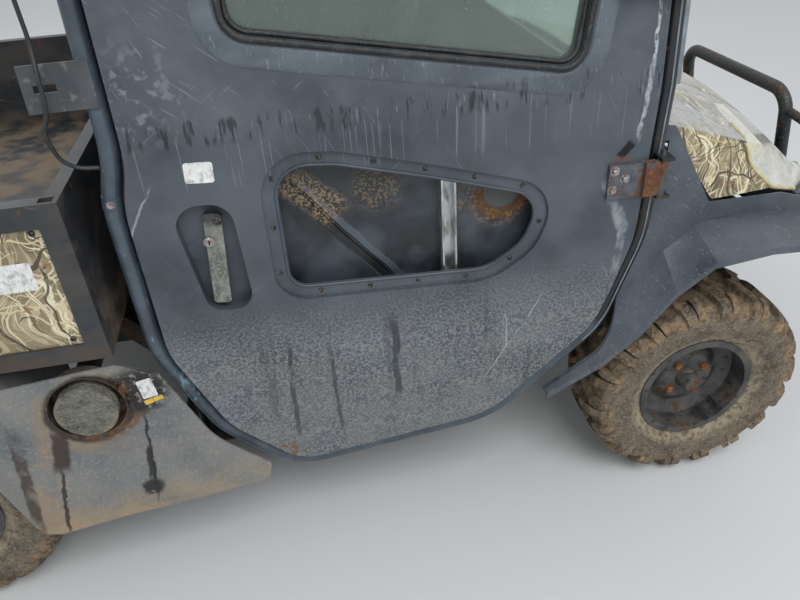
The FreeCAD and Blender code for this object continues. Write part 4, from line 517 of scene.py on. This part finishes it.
# Rusty wheel nuts
rustySteel = makeFinish("rusting_steel", {
    "slot": "bare_steel", "dark": "#5c331b", "light": "#84502b", "mottleSize": 12, "wobble": 8,
    "shader": {"Roughness": 0.92, "Metallic": 0.0}, "layers": [
        stain(6, 0.5, 0.64, "#a86c3c", 0.7, relief=0.2),
        stain(14, 0.5, 0.62, "#3c2a1f", 0.8)]})

# Expanded vinyl on seat foam: leather grain 1.6 mm, soft sheen, dusty folds
seatVinyl = makeFinish("expanded_vinyl_black", {
    "slot": "seat_vinyl", "dark": "#242628", "light": "#313436", "mottleSize": 90, "wobble": 30,
    "shader": {"Roughness": 0.48, "IOR": 1.5, "Sheen Weight": 0.08}, "layers": [
        stain(120, 0.45, 0.66, "#56524b", 0.45, rough=0.75),
        stain(1.6, 0.15, 0.6, cells="F1", relief=0.35),
        stain((40, 40, 8), 0.55, 0.7, "#1a1b1c", 0.5)]})

finishOfPart = {}
for mat, names in (
        (bedSteel, "bed tailgate"), (reedPrint, "bed_side_panels bonnet"),
        (blackSteel, "brush_guard lift_barrel"),
        (muddySteel, "bed_supports chassis_members chassis_rails dampers drive_shafts steering_rack"),
        (muddySteel, "suspension_arms knuckle_front_right knuckle_front_left"), (tubeSteel, "cab_frame"),
        (innerPlastic, "cab_floor dashboard seat_base steering_wheel"), (roofPlastic, "cab_rear_wall roof"),
        (cabGlass, "cab_glass door_right_glass door_left_glass"),
        (frontPlastic, "cowl front_face front_fenders"),
        (castAluminium, "drive_cases"), (engineIron, "engine_and_silencer"), (capPlastic, "fuel_cap"),
        (lampLens, "headlamps"), (springSteel, "lift_rod"), (fenderPlastic, "rear_fenders"),
        (cableJacket, "roof_cable"), (tailLens, "tail_lamps"),
        (doorPlastic, "door_right_shell door_left_shell"),
        (hingeSteel, "door_right_fittings door_left_fittings"), (seatVinyl, "seat_cushions seat_backs"),
        (rimSteel, "rim_front_right rim_front_left rim_rear_right rim_rear_left"),
        (tyreRubber, "tyre_front_right tyre_front_left tyre_rear_right tyre_rear_left")):
    for name in names.split():
        finishOfPart[name] = mat
for name, node in parts.items():
    node.data.materials.clear()
    node.data.materials.append(finishOfPart.get(name, blackSteel))
    if name not in finishOfPart:
        print("no finish for", name)


def finishByPlace(name, mat, test):
    # gives the faces of a node whose middle passes the test (x, y, z in mm) a finish of their own
    mesh = parts[name].data
    mesh.materials.append(mat)
    slotIndex = len(mesh.materials) - 1
    for face in mesh.polygons:
        if test(*(face.center * 1000)):
            face.material_index = slotIndex


# inner skin and metal fittings of the doors, the cable's plate, and the steering wheel's rim
linerY, linerTop, channelX, plateX, plateZ = (600, 693.5), 1240, (300, 400), -320, (1270, 1380)
wheelRim = {"y": 330, "x": 370, "z": 1085, "sin": 0.574, "cos": 0.819, "inside": 150}
for word in ("right", "left"):
    finishByPlace("door_" + word + "_shell", linerPlastic,
                  lambda x, y, z: z < linerTop and linerY[0] < abs(y) < linerY[1])
    finishByPlace("door_" + word + "_fittings", handleMetal, lambda x, y, z: x < 0)
finishByPlace("door_right_fittings", rolledAluminium, lambda x, y, z: channelX[0] < x < channelX[1])
finishByPlace("cab_frame", roofPlastic, lambda x, y, z: x < plateX and plateZ[0] < z < plateZ[1])
finishByPlace("steering_wheel", seatVinyl, lambda x, y, z: wheelRim["inside"] < math.hypot(
    y - wheelRim["y"], (x - wheelRim["x"]) * wheelRim["sin"] + (z - wheelRim["z"]) * wheelRim["cos"]))
print("finishes made:", len(bpy.data.materials))


def clearChoice():
    if bpy.context.object and bpy.context.object.mode != "OBJECT":
        bpy.ops.object.mode_set(mode="OBJECT")
    bpy.ops.object.select_all(action="DESELECT")


def pick(thing):
    clearChoice()
    thing.select_set(True)
    bpy.context.view_layer.objects.active = thing


def newObject(name, data):
    made = bpy.data.objects.new(name, data)
    bpy.context.scene.collection.objects.link(made)
    return made


def twinOf(thing):
    twin = thing.copy()
    twin.data = thing.data.copy()
    bpy.context.scene.collection.objects.link(twin)
    return twin


def editAll():
    bpy.ops.object.mode_set(mode="EDIT")
    bpy.ops.mesh.select_all(action="SELECT")


def leaveEdit():
    bpy.ops.object.mode_set(mode="OBJECT")


def settle(thing, name, mat, body, smoothAngle=35):
    # place into the mesh, clean doubles, faces outwards, finish, body
    pick(thing)
    bpy.ops.object.transform_apply(location=True, rotation=True, scale=True)
    editAll()
    bpy.ops.mesh.remove_doubles(threshold=0.00002)
    bpy.ops.mesh.normals_make_consistent(inside=False)
    leaveEdit()
    if smoothAngle:
        bpy.ops.object.shade_smooth_by_angle(angle=math.radians(smoothAngle))
    thing.name = name
    thing.data.name = name
    thing.data.materials.clear()
    thing.data.materials.append(mat)
    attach(thing, body)
    return thing


def metres(*sizes):
    return Vector([s / 1000 for s in sizes])


def roundedLoop(corners, steps=6, growth=0):
    # outline (u, v, radius) in mm to points, each corner a tangent arc
    area = sum(corners[i - 1][0] * corners[i][1] - corners[i][0] * corners[i - 1][1]
               for i in range(len(corners)))
    turn = 1 if area > 0 else -1
    points = []
    for index, (u, v, radius) in enumerate(corners):
        here = Vector((u, v))
        back = (Vector(corners[index - 1][:2]) - here).normalized()
        ahead = (Vector(corners[(index + 1) % len(corners)][:2]) - here).normalized()
        outBack = Vector((-back.y, back.x)) * turn
        outAhead = Vector((ahead.y, -ahead.x)) * turn
        middleOut = (outBack + outAhead).normalized()
        here = here + middleOut * (growth / max(middleOut.dot(outAhead), 0.2))
        convex = (-back.x * ahead.y + back.y * ahead.x) * turn > 0
        radius = max(radius + (growth if convex else -growth), 0.5)
        half = back.angle(ahead) / 2
        if abs(half - math.pi / 2) < 1e-3:
            points.append(here)
            continue
        run = radius / math.tan(half)
        centre = here + (back + ahead).normalized() * (radius / math.sin(half))
        first, last = here + back * run - centre, here + ahead * run - centre
        swing = first.angle_signed(last)
        for step in range(steps + 1):
            angle = -swing * step / steps
            points.append(centre + Vector((first.x * math.cos(angle) - first.y * math.sin(angle),
                                           first.x * math.sin(angle) + first.y * math.cos(angle))))
    return points


cabSide = [(250, 713), (700, 744), (1200, 744), (1929, 655)]  # (height, how far out the cab's side is there)


def sideOut(z, inset=0):
    for (zLow, yLow), (zHigh, yHigh) in zip(cabSide, cabSide[1:]):
        if z <= zHigh or zHigh == cabSide[-1][0]:
            return yLow + (yHigh - yLow) * (z - zLow) / (zHigh - zLow) - inset


def onSide(points, side, inset):
    # side view points laid on the cab's leaning side, so far in from it
    return [(p.x, side * sideOut(p.y, inset), p.y) for p in points]


def rope(points, radius, closed=True, sides=3):
    # round bead along points in mm, drawn as a bevelled curve and made a mesh
    line = bpy.data.curves.new("bead", "CURVE")
    line.dimensions = "3D"
    line.bevel_depth = radius / 1000
    line.bevel_resolution = sides
    line.use_fill_caps = not closed
    run = line.splines.new("POLY")
    run.points.add(len(points) - 1)
    for spot, point in zip(run.points, points):
        spot.co = (point[0] / 1000, point[1] / 1000, point[2] / 1000, 1)
    run.use_cyclic_u = closed
    pick(newObject("bead", line))
    bpy.ops.object.convert(target="MESH")
    return bpy.context.object


def joined(things):
    clearChoice()
    for thing in things:
        thing.select_set(True)
    bpy.context.view_layer.objects.active = things[0]
    if len(things) > 1:
        bpy.ops.object.join()
    return bpy.context.object


def placedCopies(source, places):
    # each place is (point in mm, direction the piece's +Z turns to, turn about it in degrees)
    copies = []
    for point, toward, spin in places:
        twin = twinOf(source)
        facing = Vector(toward).to_track_quat("Z", "Y").to_matrix().to_4x4()
        placed = Matrix.Translation(metres(*point)) @ facing
        twin.data.transform(placed @ Matrix.Rotation(math.radians(spin), 4, "Z"))
        copies.append(twin)
    bpy.data.objects.remove(source)
    return joined(copies)


def disc(sides, width, height, lift=0):
    clearChoice()
    bpy.ops.mesh.primitive_cylinder_add(vertices=sides, radius=width / 2000, depth=height / 1000,
                                        location=(0, 0, lift / 1000 + height / 2000))
    return bpy.context.object


def editTop(thing):
    # edit mode with only the faces that look up chosen
    bpy.ops.object.mode_set(mode="EDIT")
    bpy.ops.mesh.select_all(action="DESELECT")
    edit = bmesh.from_edit_mesh(thing.data)
    for face in edit.faces:
        face.select_set(face.normal.z > 0.9)
    bmesh.update_edit_mesh(thing.data)


def stepIn(inset, rise=0):
    # inset the chosen faces and lift what is left of them
    bpy.ops.mesh.inset(thickness=inset / 1000)
    bpy.ops.transform.translate(value=(0, 0, rise / 1000))


def hexBolt(across, height, washer, washerHigh=1.6):
    # hexagon head with a chamfered top over a washer, standing on z 0
    ring = disc(24, washer, washerHigh)
    head = disc(6, across, height, washerHigh)
    editTop(head)
    stepIn(across / 14, height / 9)
    leaveEdit()
    return joined([ring, head])


def panHead(width, height):
    # domed screw head with a recess, standing on z 0
    head = disc(16, width, height)
    editTop(head)
    stepIn(width / 9, height / 3)
    stepIn(width / 6)
    stepIn(width / 20, -height / 2.5)
    leaveEdit()
    return head


def blankSheet(name, mat, body, sheet):
    # thin film with rounded corners and nothing on it
    clearChoice()
    bpy.ops.mesh.primitive_plane_add(size=1, location=(0, 0, 0))
    film = bpy.context.object
    bpy.ops.transform.resize(value=(sheet["width"] / 1000, sheet["height"] / 1000, 1))
    bpy.ops.object.transform_apply(location=True, rotation=True, scale=True)
    editAll()
    bpy.ops.mesh.bevel(offset=sheet["corner"] / 1000, segments=sheet["rounds"], affect="VERTICES")
    bpy.ops.mesh.extrude_region_move(TRANSFORM_OT_translate={"value": (0, 0, sheet["thick"] / 1000)})
    leaveEdit()
    film = placedCopies(film, [(sheet["at"], sheet.get("facing", (0, -1, 0)), sheet["turn"])])
    settle(film, name, mat, body, 30)


# Tyres: carcass spun from its section, then bars and shoulder blocks on both sides; a station of a bar is how
# far out it is, the bar's foot and tip from the axle, and how far the bar has slanted by then
tyre = {
    "halfSection": [(96.5, 152.4), (97, 168), (112, 184), (121, 206), (124, 228), (122, 250), (114, 270),
                    (98, 284), (60, 291)],
    "crown": 293, "turns": 72, "bars": 18, "barWidth": 34, "blockWidth": 24, "topWide": 0.86, "footWide": 1.08,
    "meanRadius": 300, "sink": 6, "spread": 2.2, "tuck": 5,
    "bar": [(6, 289, 309.5, -4), (40, 288, 309.2, 4), (72, 284, 307, 14), (98, 276, 301, 22),
            (115, 262, 288, 26), (122, 244, 270, 28), (123, 228, 246, 29)],
    "block": [(74, 284, 306, 0), (98, 276, 301, 2), (115, 262, 287, 4), (121.5, 250, 272, 5)],
}


def makeTyre():
    half = tyre["halfSection"]
    section = [(-y, r) for y, r in half] + [(0, tyre["crown"])] + half[::-1]
    bpy.ops.mesh.primitive_circle_add(vertices=len(section), radius=0.1)
    ring = bpy.context.object
    for vertex, (y, r) in zip(ring.data.vertices, section):
        vertex.co = (0, y / 1000, r / 1000)
    editAll()
    bpy.ops.mesh.spin(steps=tyre["turns"], angle=2 * math.pi, center=(0, 0, 0), axis=(0, 1, 0), dupli=False)
    bpy.ops.mesh.select_all(action="SELECT")
    bpy.ops.mesh.remove_doubles(threshold=0.0001)
    bpy.ops.mesh.normals_make_consistent(inside=False)
    leaveEdit()
    blocks = [ring]
    for side in (-1, 1):
        for index in range(tyre["bars"] * 2):
            kind = "block" if index % 2 else "bar"
            stations, width = tyre[kind], tyre[kind + "Width"]
            last = len(stations) - 1
            angle = 2 * math.pi * (index + (0.5 if side > 0 else 0)) / (tyre["bars"] * 2)
            bpy.ops.mesh.primitive_grid_add(x_subdivisions=3, y_subdivisions=last, size=0.1)
            bar = bpy.context.object
            editAll()
            bpy.ops.mesh.extrude_region_move(TRANSFORM_OT_translate={"value": (0, 0, 0.1)})
            leaveEdit()
            for vertex in bar.data.vertices:
                row = round((vertex.co.y + 0.05) / 0.1 * last)
                y, foot, tip, slant = stations[row]
                top = vertex.co.z > 0.05
                across = (vertex.co.x / 0.05) * width / 2 * tyre["topWide" if top else "footWide"]
                if top and row >= last - 2:
                    y += tyre["spread"]
                if not top and row == last:
                    y -= tyre["tuck"]
                turn = angle + (across + slant) / tyre["meanRadius"]
                r = (tip if top else foot - tyre["sink"]) / 1000
                vertex.co = (r * math.sin(turn), y * side / 1000, r * math.cos(turn))
            blocks.append(bar)
    return joined(blocks)


axleHigh = 310
wheels = {"front_right": (1045, -620), "front_left": (1045, 620), "rear_right": (-1000, -620),
          "rear_left": (-1000, 620)}
firstTyre = makeTyre()
for corner, (x, y) in wheels.items():
    twin = twinOf(firstTyre)
    if y > 0:
        twin.rotation_euler = (0, 0, math.pi)
    twin.location = metres(x, y, axleHigh)
    settle(twin, "lugged_tyre_" + corner, tyreRubber, "wheel_" + corner, 30)
    away = twin.data.attributes.new("radius", "FLOAT", "POINT")
    for spot, vertex in zip(away.data, twin.data.vertices):
        spot.value = math.hypot(vertex.co.x * 1000 - x, vertex.co.z * 1000 - axleHigh)
    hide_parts("tyre_" + corner)
bpy.data.objects.remove(firstTyre)
print("tyres made")

# Hub caps, nuts and valve on the four wheels
hub = {"faceY": 661, "capWide": 72, "capFoot": 6, "capSteps": ((12, 0.92), (10, 0.86), (6, 0.80)),
       "nutCircle": 58, "nutWide": 24, "nutHigh": 16, "washer": 30, "firstNut": 35,
       "stem": ((92, 664, -96), (94, 684, -97), (95, 704, -97)), "stemRadius": 4.5}
for corner, (x, y) in wheels.items():
    side = 1 if y > 0 else -1
    cap = disc(40, hub["capWide"], hub["capFoot"])
    editTop(cap)
    stepIn(5)
    for rise, narrow in hub["capSteps"]:
        bpy.ops.mesh.extrude_region_move(TRANSFORM_OT_translate={"value": (0, 0, rise / 1000)})
        bpy.ops.transform.resize(value=(narrow, narrow, 1))
    stepIn(5, -3)
    leaveEdit()
    cap = placedCopies(cap, [((x, side * hub["faceY"], axleHigh), (0, side, 0), 0)])
    settle(cap, "hub_cap_" + corner, hubZinc, "wheel_" + corner, 40)
    spots = []
    for index in range(4):
        angle = math.radians(hub["firstNut"] + 90 * index)
        spots.append(((x + hub["nutCircle"] * math.cos(angle), side * hub["faceY"],
                       axleHigh + hub["nutCircle"] * math.sin(angle)), (0, side, 0), 20 * index))
    nuts = placedCopies(hexBolt(hub["nutWide"], hub["nutHigh"], hub["washer"]), spots)
    settle(nuts, "wheel_nuts_" + corner, rustySteel, "wheel_" + corner, 25)
    stem = rope([(x + dx, side * y, axleHigh + dz) for dx, y, dz in hub["stem"]], hub["stemRadius"],
                closed=False)
    settle(stem, "valve_stem_" + corner, sealRubber, "wheel_" + corner, 40)
print("hubs made")

# Door trims: the same on both sides, mirrored; outlines in side view, each corner (x, z, radius)
door = {
    "window": [(-65, 1807, 45), (-65, 1386, 45), (607, 1259, 40), (640, 1450, 200), (585, 1807, 45)],
    "kidney": [(-20, 1128, 60), (100, 1118, 200), (300, 1062, 200), (545, 985, 60), (505, 880, 90),
               (420, 826, 90), (-22, 850, 40)],
    "outline": [(-292, 1900, 60), (-292, 1180, 300), (-320, 1080, 300), (-320, 720, 250), (-230, 465, 200),
                (-75, 292, 110), (440, 355, 200), (700, 610, 200), (775, 850, 300), (787, 1200, 300),
                (795, 1450, 200), (715, 1900, 60)],
    "flange": 736, "screws": 14, "screwLine": 19,
    "hingeHeights": (1004, 1430), "hingeY": 753, "hingeBolts": ((702, 26), (727, 6), (700, -18), (786, -22)),
    "pivot": (-150, 736, 1028), "lock": (-175, 741, 985),
    "bandEdges": (13, 56), "bandHigh": 5.0, "bandFoot": 0.6, "bandSlopes": (0.10, 0.82), "bandThick": 0.3,
    "lipRadius": 6.5, "innerRadius": 5, "rimRadius": 3, "pillarTop": 1895,
    "tubeLine": 29, "beadIn": 12.5, "beadRadius": 2.4, "beadFrom": (560, 520),
    "coverLine": 45, "coverIn": 27, "coverRadius": 10, "coverFrom": (640, 1010),
    "sleeveIn": 32, "sleeveRadius": 20.2, "sleeveFoot": 1076, "sleeveTop": 1104, "boltIn": 12.2,
    "sealLine": 6.2, "sealIn": 34, "sealRadius": 3.4,
}
for word, side in (("right", -1), ("left", 1)):
    body = "door_" + word
    outward = (0, side, 0)
    # window seal: a lip on the skin and a bead inside the opening
    lip = rope(onSide(roundedLoop(door["window"], 8, 5), side, -1), door["lipRadius"])
    bead = rope(onSide(roundedLoop(door["window"], 8, -5), side, 12), door["innerRadius"])
    settle(joined([lip, bead]), "window_seal_" + word, sealRubber, body, 60)
    # rolled edge round the lower opening, and its screws
    rim = rope([(p.x, side * (door["flange"] + 1), p.y) for p in roundedLoop(door["kidney"], 6, 4)],
               door["rimRadius"])
    settle(rim, "lower_opening_bead_" + word, doorPlastic, body, 60)
    run = roundedLoop(door["kidney"], 6, door["screwLine"])
    lengths = [0.0]
    for first, second in zip(run, run[1:] + run[:1]):
        lengths.append(lengths[-1] + (second - first).length)
    spots = []
    for index in range(door["screws"]):
        target = lengths[-1] * (index + 0.4) / door["screws"]
        for place, (start, end) in enumerate(zip(lengths, lengths[1:])):
            if start <= target < end:
                spot = run[place].lerp(run[(place + 1) % len(run)], (target - start) / (end - start))
                spots.append(((spot.x, side * door["flange"], spot.y), outward, 31 * index))
    settle(placedCopies(panHead(11, 3.2), spots), "door_screws_" + word, screwBlack, body, 30)
    # bolts on the hinge straps, three behind and one in front on each
    bolts = [((x, side * door["hingeY"], z + dz), outward, 17 * x) for z in door["hingeHeights"]
             for x, dz in door["hingeBolts"]]
    settle(placedCopies(hexBolt(15, 7, 22), bolts), "hinge_bolts_" + word, boltZinc, body, 25)
    # pivot and lock face of the handle
    x, y, z = door["pivot"]
    pivot = placedCopies(panHead(17, 4), [((x, side * y, z), outward, 20)])
    settle(pivot, "handle_pivot_" + word, screwBlack, body, 30)
    lock = disc(32, 23, 3)
    editTop(lock)
    stepIn(2.5, 1.5)
    stepIn(4.5)
    bpy.ops.transform.resize(value=(0.35, 1.4, 1))
    stepIn(0.2, -2)
    leaveEdit()
    x, y, z = door["lock"]
    settle(placedCopies(lock, [((x, side * y, z), outward, 0)]), "handle_lock_" + word, boltZinc, body, 30)
    # raised band round the window: four loops across it, then the same two edges again for its back
    inner, outer = (roundedLoop(door["window"], 8, edge) for edge in door["bandEdges"])
    steps = [(inner, door["bandFoot"])]
    for share in door["bandSlopes"]:
        steps.append(([a.lerp(b, share) for a, b in zip(inner, outer)], door["bandHigh"]))
    steps.append((outer, door["bandFoot"]))
    made = bmesh.new()
    rows = [[made.verts.new(metres(*point)) for point in onSide(loop, side, -rise)] for loop, rise in steps]
    for edge in (rows[3], rows[0]):
        rows.append([made.verts.new(v.co - Vector((0, side * door["bandThick"] / 1000, 0))) for v in edge])
    for low, high in zip(rows, rows[1:] + rows[:1]):
        for index in range(len(low)):
            after = (index + 1) % len(low)
            made.faces.new((low[index], low[after], high[after], high[index]))
    ringMesh = bpy.data.meshes.new("band")
    made.to_mesh(ringMesh)
    made.free()
    settle(newObject("band", ringMesh), "window_surround_" + word, bandPlastic, body, 40)
    # strips on the front pillar: a bead on the crown of the tube, a cover on its front side
    run = [p for p in roundedLoop(door["outline"], 8, door["tubeLine"])
           if p.x > door["beadFrom"][0] and door["beadFrom"][1] < p.y < door["pillarTop"]]
    bead = rope(onSide(run, side, door["beadIn"]), door["beadRadius"], closed=False)
    settle(bead, "pillar_bead_" + word, coverStrip, "chassis", 60)
    run = [p for p in roundedLoop(door["outline"], 8, door["coverLine"])
           if p.x > door["coverFrom"][0] and door["coverFrom"][1] < p.y < door["pillarTop"]]
    cover = rope(onSide(run, side, door["coverIn"]), door["coverRadius"], closed=False, sides=5)
    settle(cover, "pillar_cover_" + word, coverStrip, "chassis", 60)
    # sleeve where the rear pillar's two tubes meet, with its bolt
    run = [p for p in roundedLoop(door["outline"], 40, door["tubeLine"])
           if p.x < 0 and door["sleeveFoot"] < p.y < door["sleeveTop"]]
    sleeve = rope(onSide(run, side, door["sleeveIn"]), door["sleeveRadius"], closed=False, sides=8)
    settle(sleeve, "pillar_sleeve_" + word, tubeSteel, "chassis", 40)
    spot = onSide([run[len(run) // 2]], side, door["boltIn"])[0]
    bolt = placedCopies(hexBolt(12, 5, 17), [(spot, outward, 10)])
    settle(bolt, "pillar_bolt_" + word, boltZinc, "chassis", 25)
    # seal in the gap round the door, on the frame
    line = onSide(roundedLoop(door["outline"], 6, door["sealLine"]), side, door["sealIn"])
    gapSeal = rope(line, door["sealRadius"])
    settle(gapSeal, "door_gap_seal_" + word, sealRubber, "chassis", 60)
blankSheet("blank_sheet_door", whiteVinyl, "door_right",
           {"width": 56, "height": 43, "corner": 6, "rounds": 4, "thick": 0.6, "at": (-163, -744.1, 1141),
            "turn": -4})
print("door trims made")

# Sealant along the rear edge of each lamp, laid where a side ray meets the lens
lampEdge = {"corners": ((1122, 1020), (1133, 932), (1198, 868), (1296, 840)), "steps": 6, "fromY": 900,
            "radius": 4.5}
for word, side in (("right", -1), ("left", 1)):
    run = []
    for (x1, z1), (x2, z2) in zip(lampEdge["corners"], lampEdge["corners"][1:]):
        for step in range(lampEdge["steps"]):
            x, z = x1 + (x2 - x1) * step / lampEdge["steps"], z1 + (z2 - z1) * step / lampEdge["steps"]
            hit, point = parts["headlamps"].ray_cast(metres(x, side * lampEdge["fromY"], z),
                                                     Vector((0, -side, 0)))[:2]
            if hit:
                run.append(point * 1000)
    if len(run) > 3:
        bead = rope(run, lampEdge["radius"], closed=False)
        settle(bead, "lamp_sealant_" + word, lampSealant, "bonnet_body", 60)
print("lamp edges made")

# Seat pads: foam under vinyl, swollen by cloth pressure, then sewn channels and piping
seat = {
    "shrink": 12, "corner": 26, "voxel": 7, "cap": 26, "pressure": 4.0, "stretch": 14, "bend": 3,
    "frames": 20, "hold": 1, "frontFrom": 0.55,
    "channelWide": 7.0, "channelDeep": 10, "edgeFree": 30, "pipingAt": 78, "pipingWide": 5.0, "pipingDeep": 6,
    "pads": [
        ("cushion_right", (-210, -540, 600), (215, -10, 700), "z", (-90, 30)),
        ("cushion_left", (-210, 10, 600), (215, 540, 700), "z", (-90, 30)),
        ("back_right", (-304, -540, 604), (-200, -10, 1180), "x", (760, 900, 1040)),
        ("back_left", (-304, 10, 604), (-200, 540, 1180), "x", (760, 900, 1040)),
    ],
}


def inflate(pad):
    # pressure cloth on a remeshed copy, each point held within the cap of where it was
    pick(pad)
    start = [v.co.copy() for v in pad.data.vertices]
    cloth = pad.modifiers.new("cloth", "CLOTH")
    cloth.settings.use_pressure = True
    cloth.settings.uniform_pressure_force = seat["pressure"]
    cloth.settings.tension_stiffness = seat["stretch"]
    cloth.settings.compression_stiffness = seat["stretch"]
    cloth.settings.bending_stiffness = seat["bend"]
    cloth.settings.effector_weights.gravity = 0
    cloth.settings.quality = 4
    cloth.collision_settings.use_collision = False
    for step in range(1, seat["frames"] + 1):
        bpy.context.scene.frame_set(step)
    shown = pad.evaluated_get(bpy.context.evaluated_depsgraph_get())
    ended = [v.co.copy() for v in shown.data.vertices]
    pad.modifiers.remove(cloth)
    for vertex, before, after in zip(pad.data.vertices, start, ended):
        move = after - before
        if move.length > seat["cap"] / 1000:
            move = move.normalized() * seat["cap"] / 1000
        vertex.co = before + move
    bpy.context.scene.frame_set(1)


for name, low, high, facing, channels in seat["pads"]:
    clearChoice()
    bpy.ops.mesh.primitive_cube_add(size=1, location=metres(*[(a + b) / 2 for a, b in zip(low, high)]))
    pad = bpy.context.object
    pad.scale = metres(*[b - a - seat["shrink"] * 2 for a, b in zip(low, high)])
    bpy.ops.object.transform_apply(location=True, rotation=True, scale=True)
    editAll()
    bpy.ops.mesh.bevel(offset=seat["corner"] / 1000, segments=4)
    leaveEdit()
    pad.data.remesh_voxel_size = seat["voxel"] / 1000
    bpy.ops.object.voxel_remesh()
    inflate(pad)
    lowM, highM, hold = metres(*low), metres(*high), seat["hold"] / 1000
    # the axis that the pad faces along, and the one that its channels follow each other along
    up, run = (2, 0) if facing == "z" else (0, 2)
    depth = Vector((0, 0, -1)) if facing == "z" else Vector((-1, 0, 0))
    for vertex in pad.data.vertices:
        co = vertex.co
        front = max(0.0, min(1.0, (co[up] - lowM[up]) / (highM[up] - lowM[up])))
        along = co[run] * 1000
        edge = min(co.y - lowM.y, highM.y - co.y) * 1000
        if front > seat["frontFrom"] and edge > seat["edgeFree"]:
            for line in channels:
                groove = math.exp(-((along - line) / seat["channelWide"]) ** 2)
                fade = min(1.0, (edge - seat["edgeFree"]) / seat["edgeFree"])
                co += depth * seat["channelDeep"] / 1000 * groove * fade
            piping = math.exp(-((edge - seat["pipingAt"]) / seat["pipingWide"]) ** 2)
            co += depth * seat["pipingDeep"] / 1000 * piping
        for axis in range(3):
            co[axis] = max(lowM[axis] + hold, min(highM[axis] - hold, co[axis]))
        vertex.co = co
    pick(pad)
    smoother = pad.modifiers.new("smooth", "SUBSURF")
    smoother.levels = 1
    smoother.render_levels = 1
    bpy.ops.object.modifier_apply(modifier=smoother.name)
    settle(pad, "seat_" + name, seatVinyl, "chassis", 0)
    bpy.ops.object.shade_smooth()
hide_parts("seat_cushions")
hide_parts("seat_cushions")
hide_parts("seat_backs")
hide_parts("seat_backs")
print("seats made")

# Bed trims: screws of the side panels, a blank sheet on the right one, and beside the fuel filler a blank
# white label with a yellow strip at its foot
bed = {"panelScrews": 7, "panelY": 762, "firstX": -1425, "screwRun": 930, "screwRows": (812, 1066)}
spots = []
for side in (-1, 1):
    for index in range(bed["panelScrews"]):
        x = bed["firstX"] + index * (bed["screwRun"] / (bed["panelScrews"] - 1))
        for z in bed["screwRows"]:
            spots.append(((x, side * bed["panelY"], z), (0, side, 0), 23 * index))
settle(placedCopies(panHead(13, 3.5), spots), "bed_panel_screws", screwBlack, "bed_body", 30)
blankSheet("blank_sheet_bed", whiteVinyl, "bed_body",
           {"width": 150, "height": 64, "corner": 5, "rounds": 3, "thick": 0.6, "at": (-596, -762.1, 975),
            "turn": 0})
blankSheet("blank_label_fender", whiteVinyl, "chassis",
           {"width": 34, "height": 54, "corner": 3, "rounds": 3, "thick": 0.5, "at": (-388, -750.2, 640),
            "facing": (0.11, -1, 0), "turn": 6})
blankSheet("blank_strip_fender", yellowVinyl, "chassis",
           {"width": 44, "height": 13, "corner": 3, "rounds": 3, "thick": 0.5, "at": (-381, -749.4, 604),
            "facing": (0.11, -1, 0), "turn": 10})
print("bed trims made")

# Floor, light, camera; places in metres, the camera's in mm with its angles in radians and its focal length
# in pixels
stage = {"floor": "#cfd1d2", "floorSize": 40, "sky": "#f2f5f8", "worldStrength": 0.72, "boxSize": 4.0,
         "boxes": (((1.5, -4.5, 5.5), (0, -0.3, 0.6), 260), ((-4.0, 2.5, 5.0), (0, 0, 0.8), 130))}
clearChoice()
bpy.ops.mesh.primitive_plane_add(size=stage["floorSize"], location=(0, 0, 0))
floor = bpy.context.object
floor.name = "studio_floor"
floorMat = bpy.data.materials.new("matt_studio_floor")
floorMat.use_nodes = True
floorShader = floorMat.node_tree.nodes["Principled BSDF"]
floorShader.inputs["Base Color"].default_value = linearColour(stage["floor"])
floorShader.inputs["Roughness"].default_value = 0.9
floor.data.materials.append(floorMat)
world = bpy.data.worlds.new("studio")
bpy.context.scene.world = world
world.use_nodes = True
sky = world.node_tree
back = sky.nodes["Background"]
back.inputs["Color"].default_value = linearColour(stage["sky"])
path = addNode(sky, "LightPath")
seen = addNode(sky, "Math", {"operation": "MAXIMUM"}, {},
               {0: path.outputs["Is Camera Ray"], 1: path.outputs["Is Glossy Ray"]})
seen = addNode(sky, "Math", {"operation": "MAXIMUM"}, {},
               {0: seen.outputs[0], 1: path.outputs["Is Transmission Ray"]})
power = addNode(sky, "MapRange", {}, {"To Min": stage["worldStrength"], "To Max": 1.0},
                {"Value": seen.outputs[0]})
sky.links.new(power.outputs["Result"], back.inputs["Strength"])
for place, aim, watts in stage["boxes"]:
    lamp = bpy.data.lights.new("softbox", "AREA")
    lamp.energy = watts
    lamp.size = stage["boxSize"]
    holder = newObject("softbox", lamp)
    holder.location = place
    holder.rotation_euler = (Vector(aim) - Vector(place)).to_track_quat("-Z", "Y").to_euler()

view = {"place": (28.929, -2059.664, 1668.825), "yaw": 0.14, "pitch": 0.592, "roll": -0.07, "focal": 695.742,
        "frameWidth": 800, "sensor": 36}
yaw, pitch, roll = view["yaw"], view["pitch"], view["roll"]
forward = Vector((math.sin(yaw) * math.cos(pitch), math.cos(yaw) * math.cos(pitch), -math.sin(pitch)))
right = Vector((math.cos(yaw), -math.sin(yaw), 0))
up = right.cross(forward)
rolledRight = right * math.cos(roll) + up * math.sin(roll)
rolledUp = up * math.cos(roll) - right * math.sin(roll)
camera = bpy.data.cameras.new("photo_camera")
camera.sensor_width = view["sensor"]
camera.lens = view["sensor"] * view["focal"] / view["frameWidth"]
camera.clip_start = 0.01
holder = newObject("photo_camera", camera)
turned = Matrix((rolledRight, rolledUp, -forward)).transposed().to_4x4()
holder.matrix_world = Matrix.Translation(metres(*view["place"])) @ turned
bpy.context.scene.camera = holder
bpy.context.scene.view_settings.view_transform = "Standard"
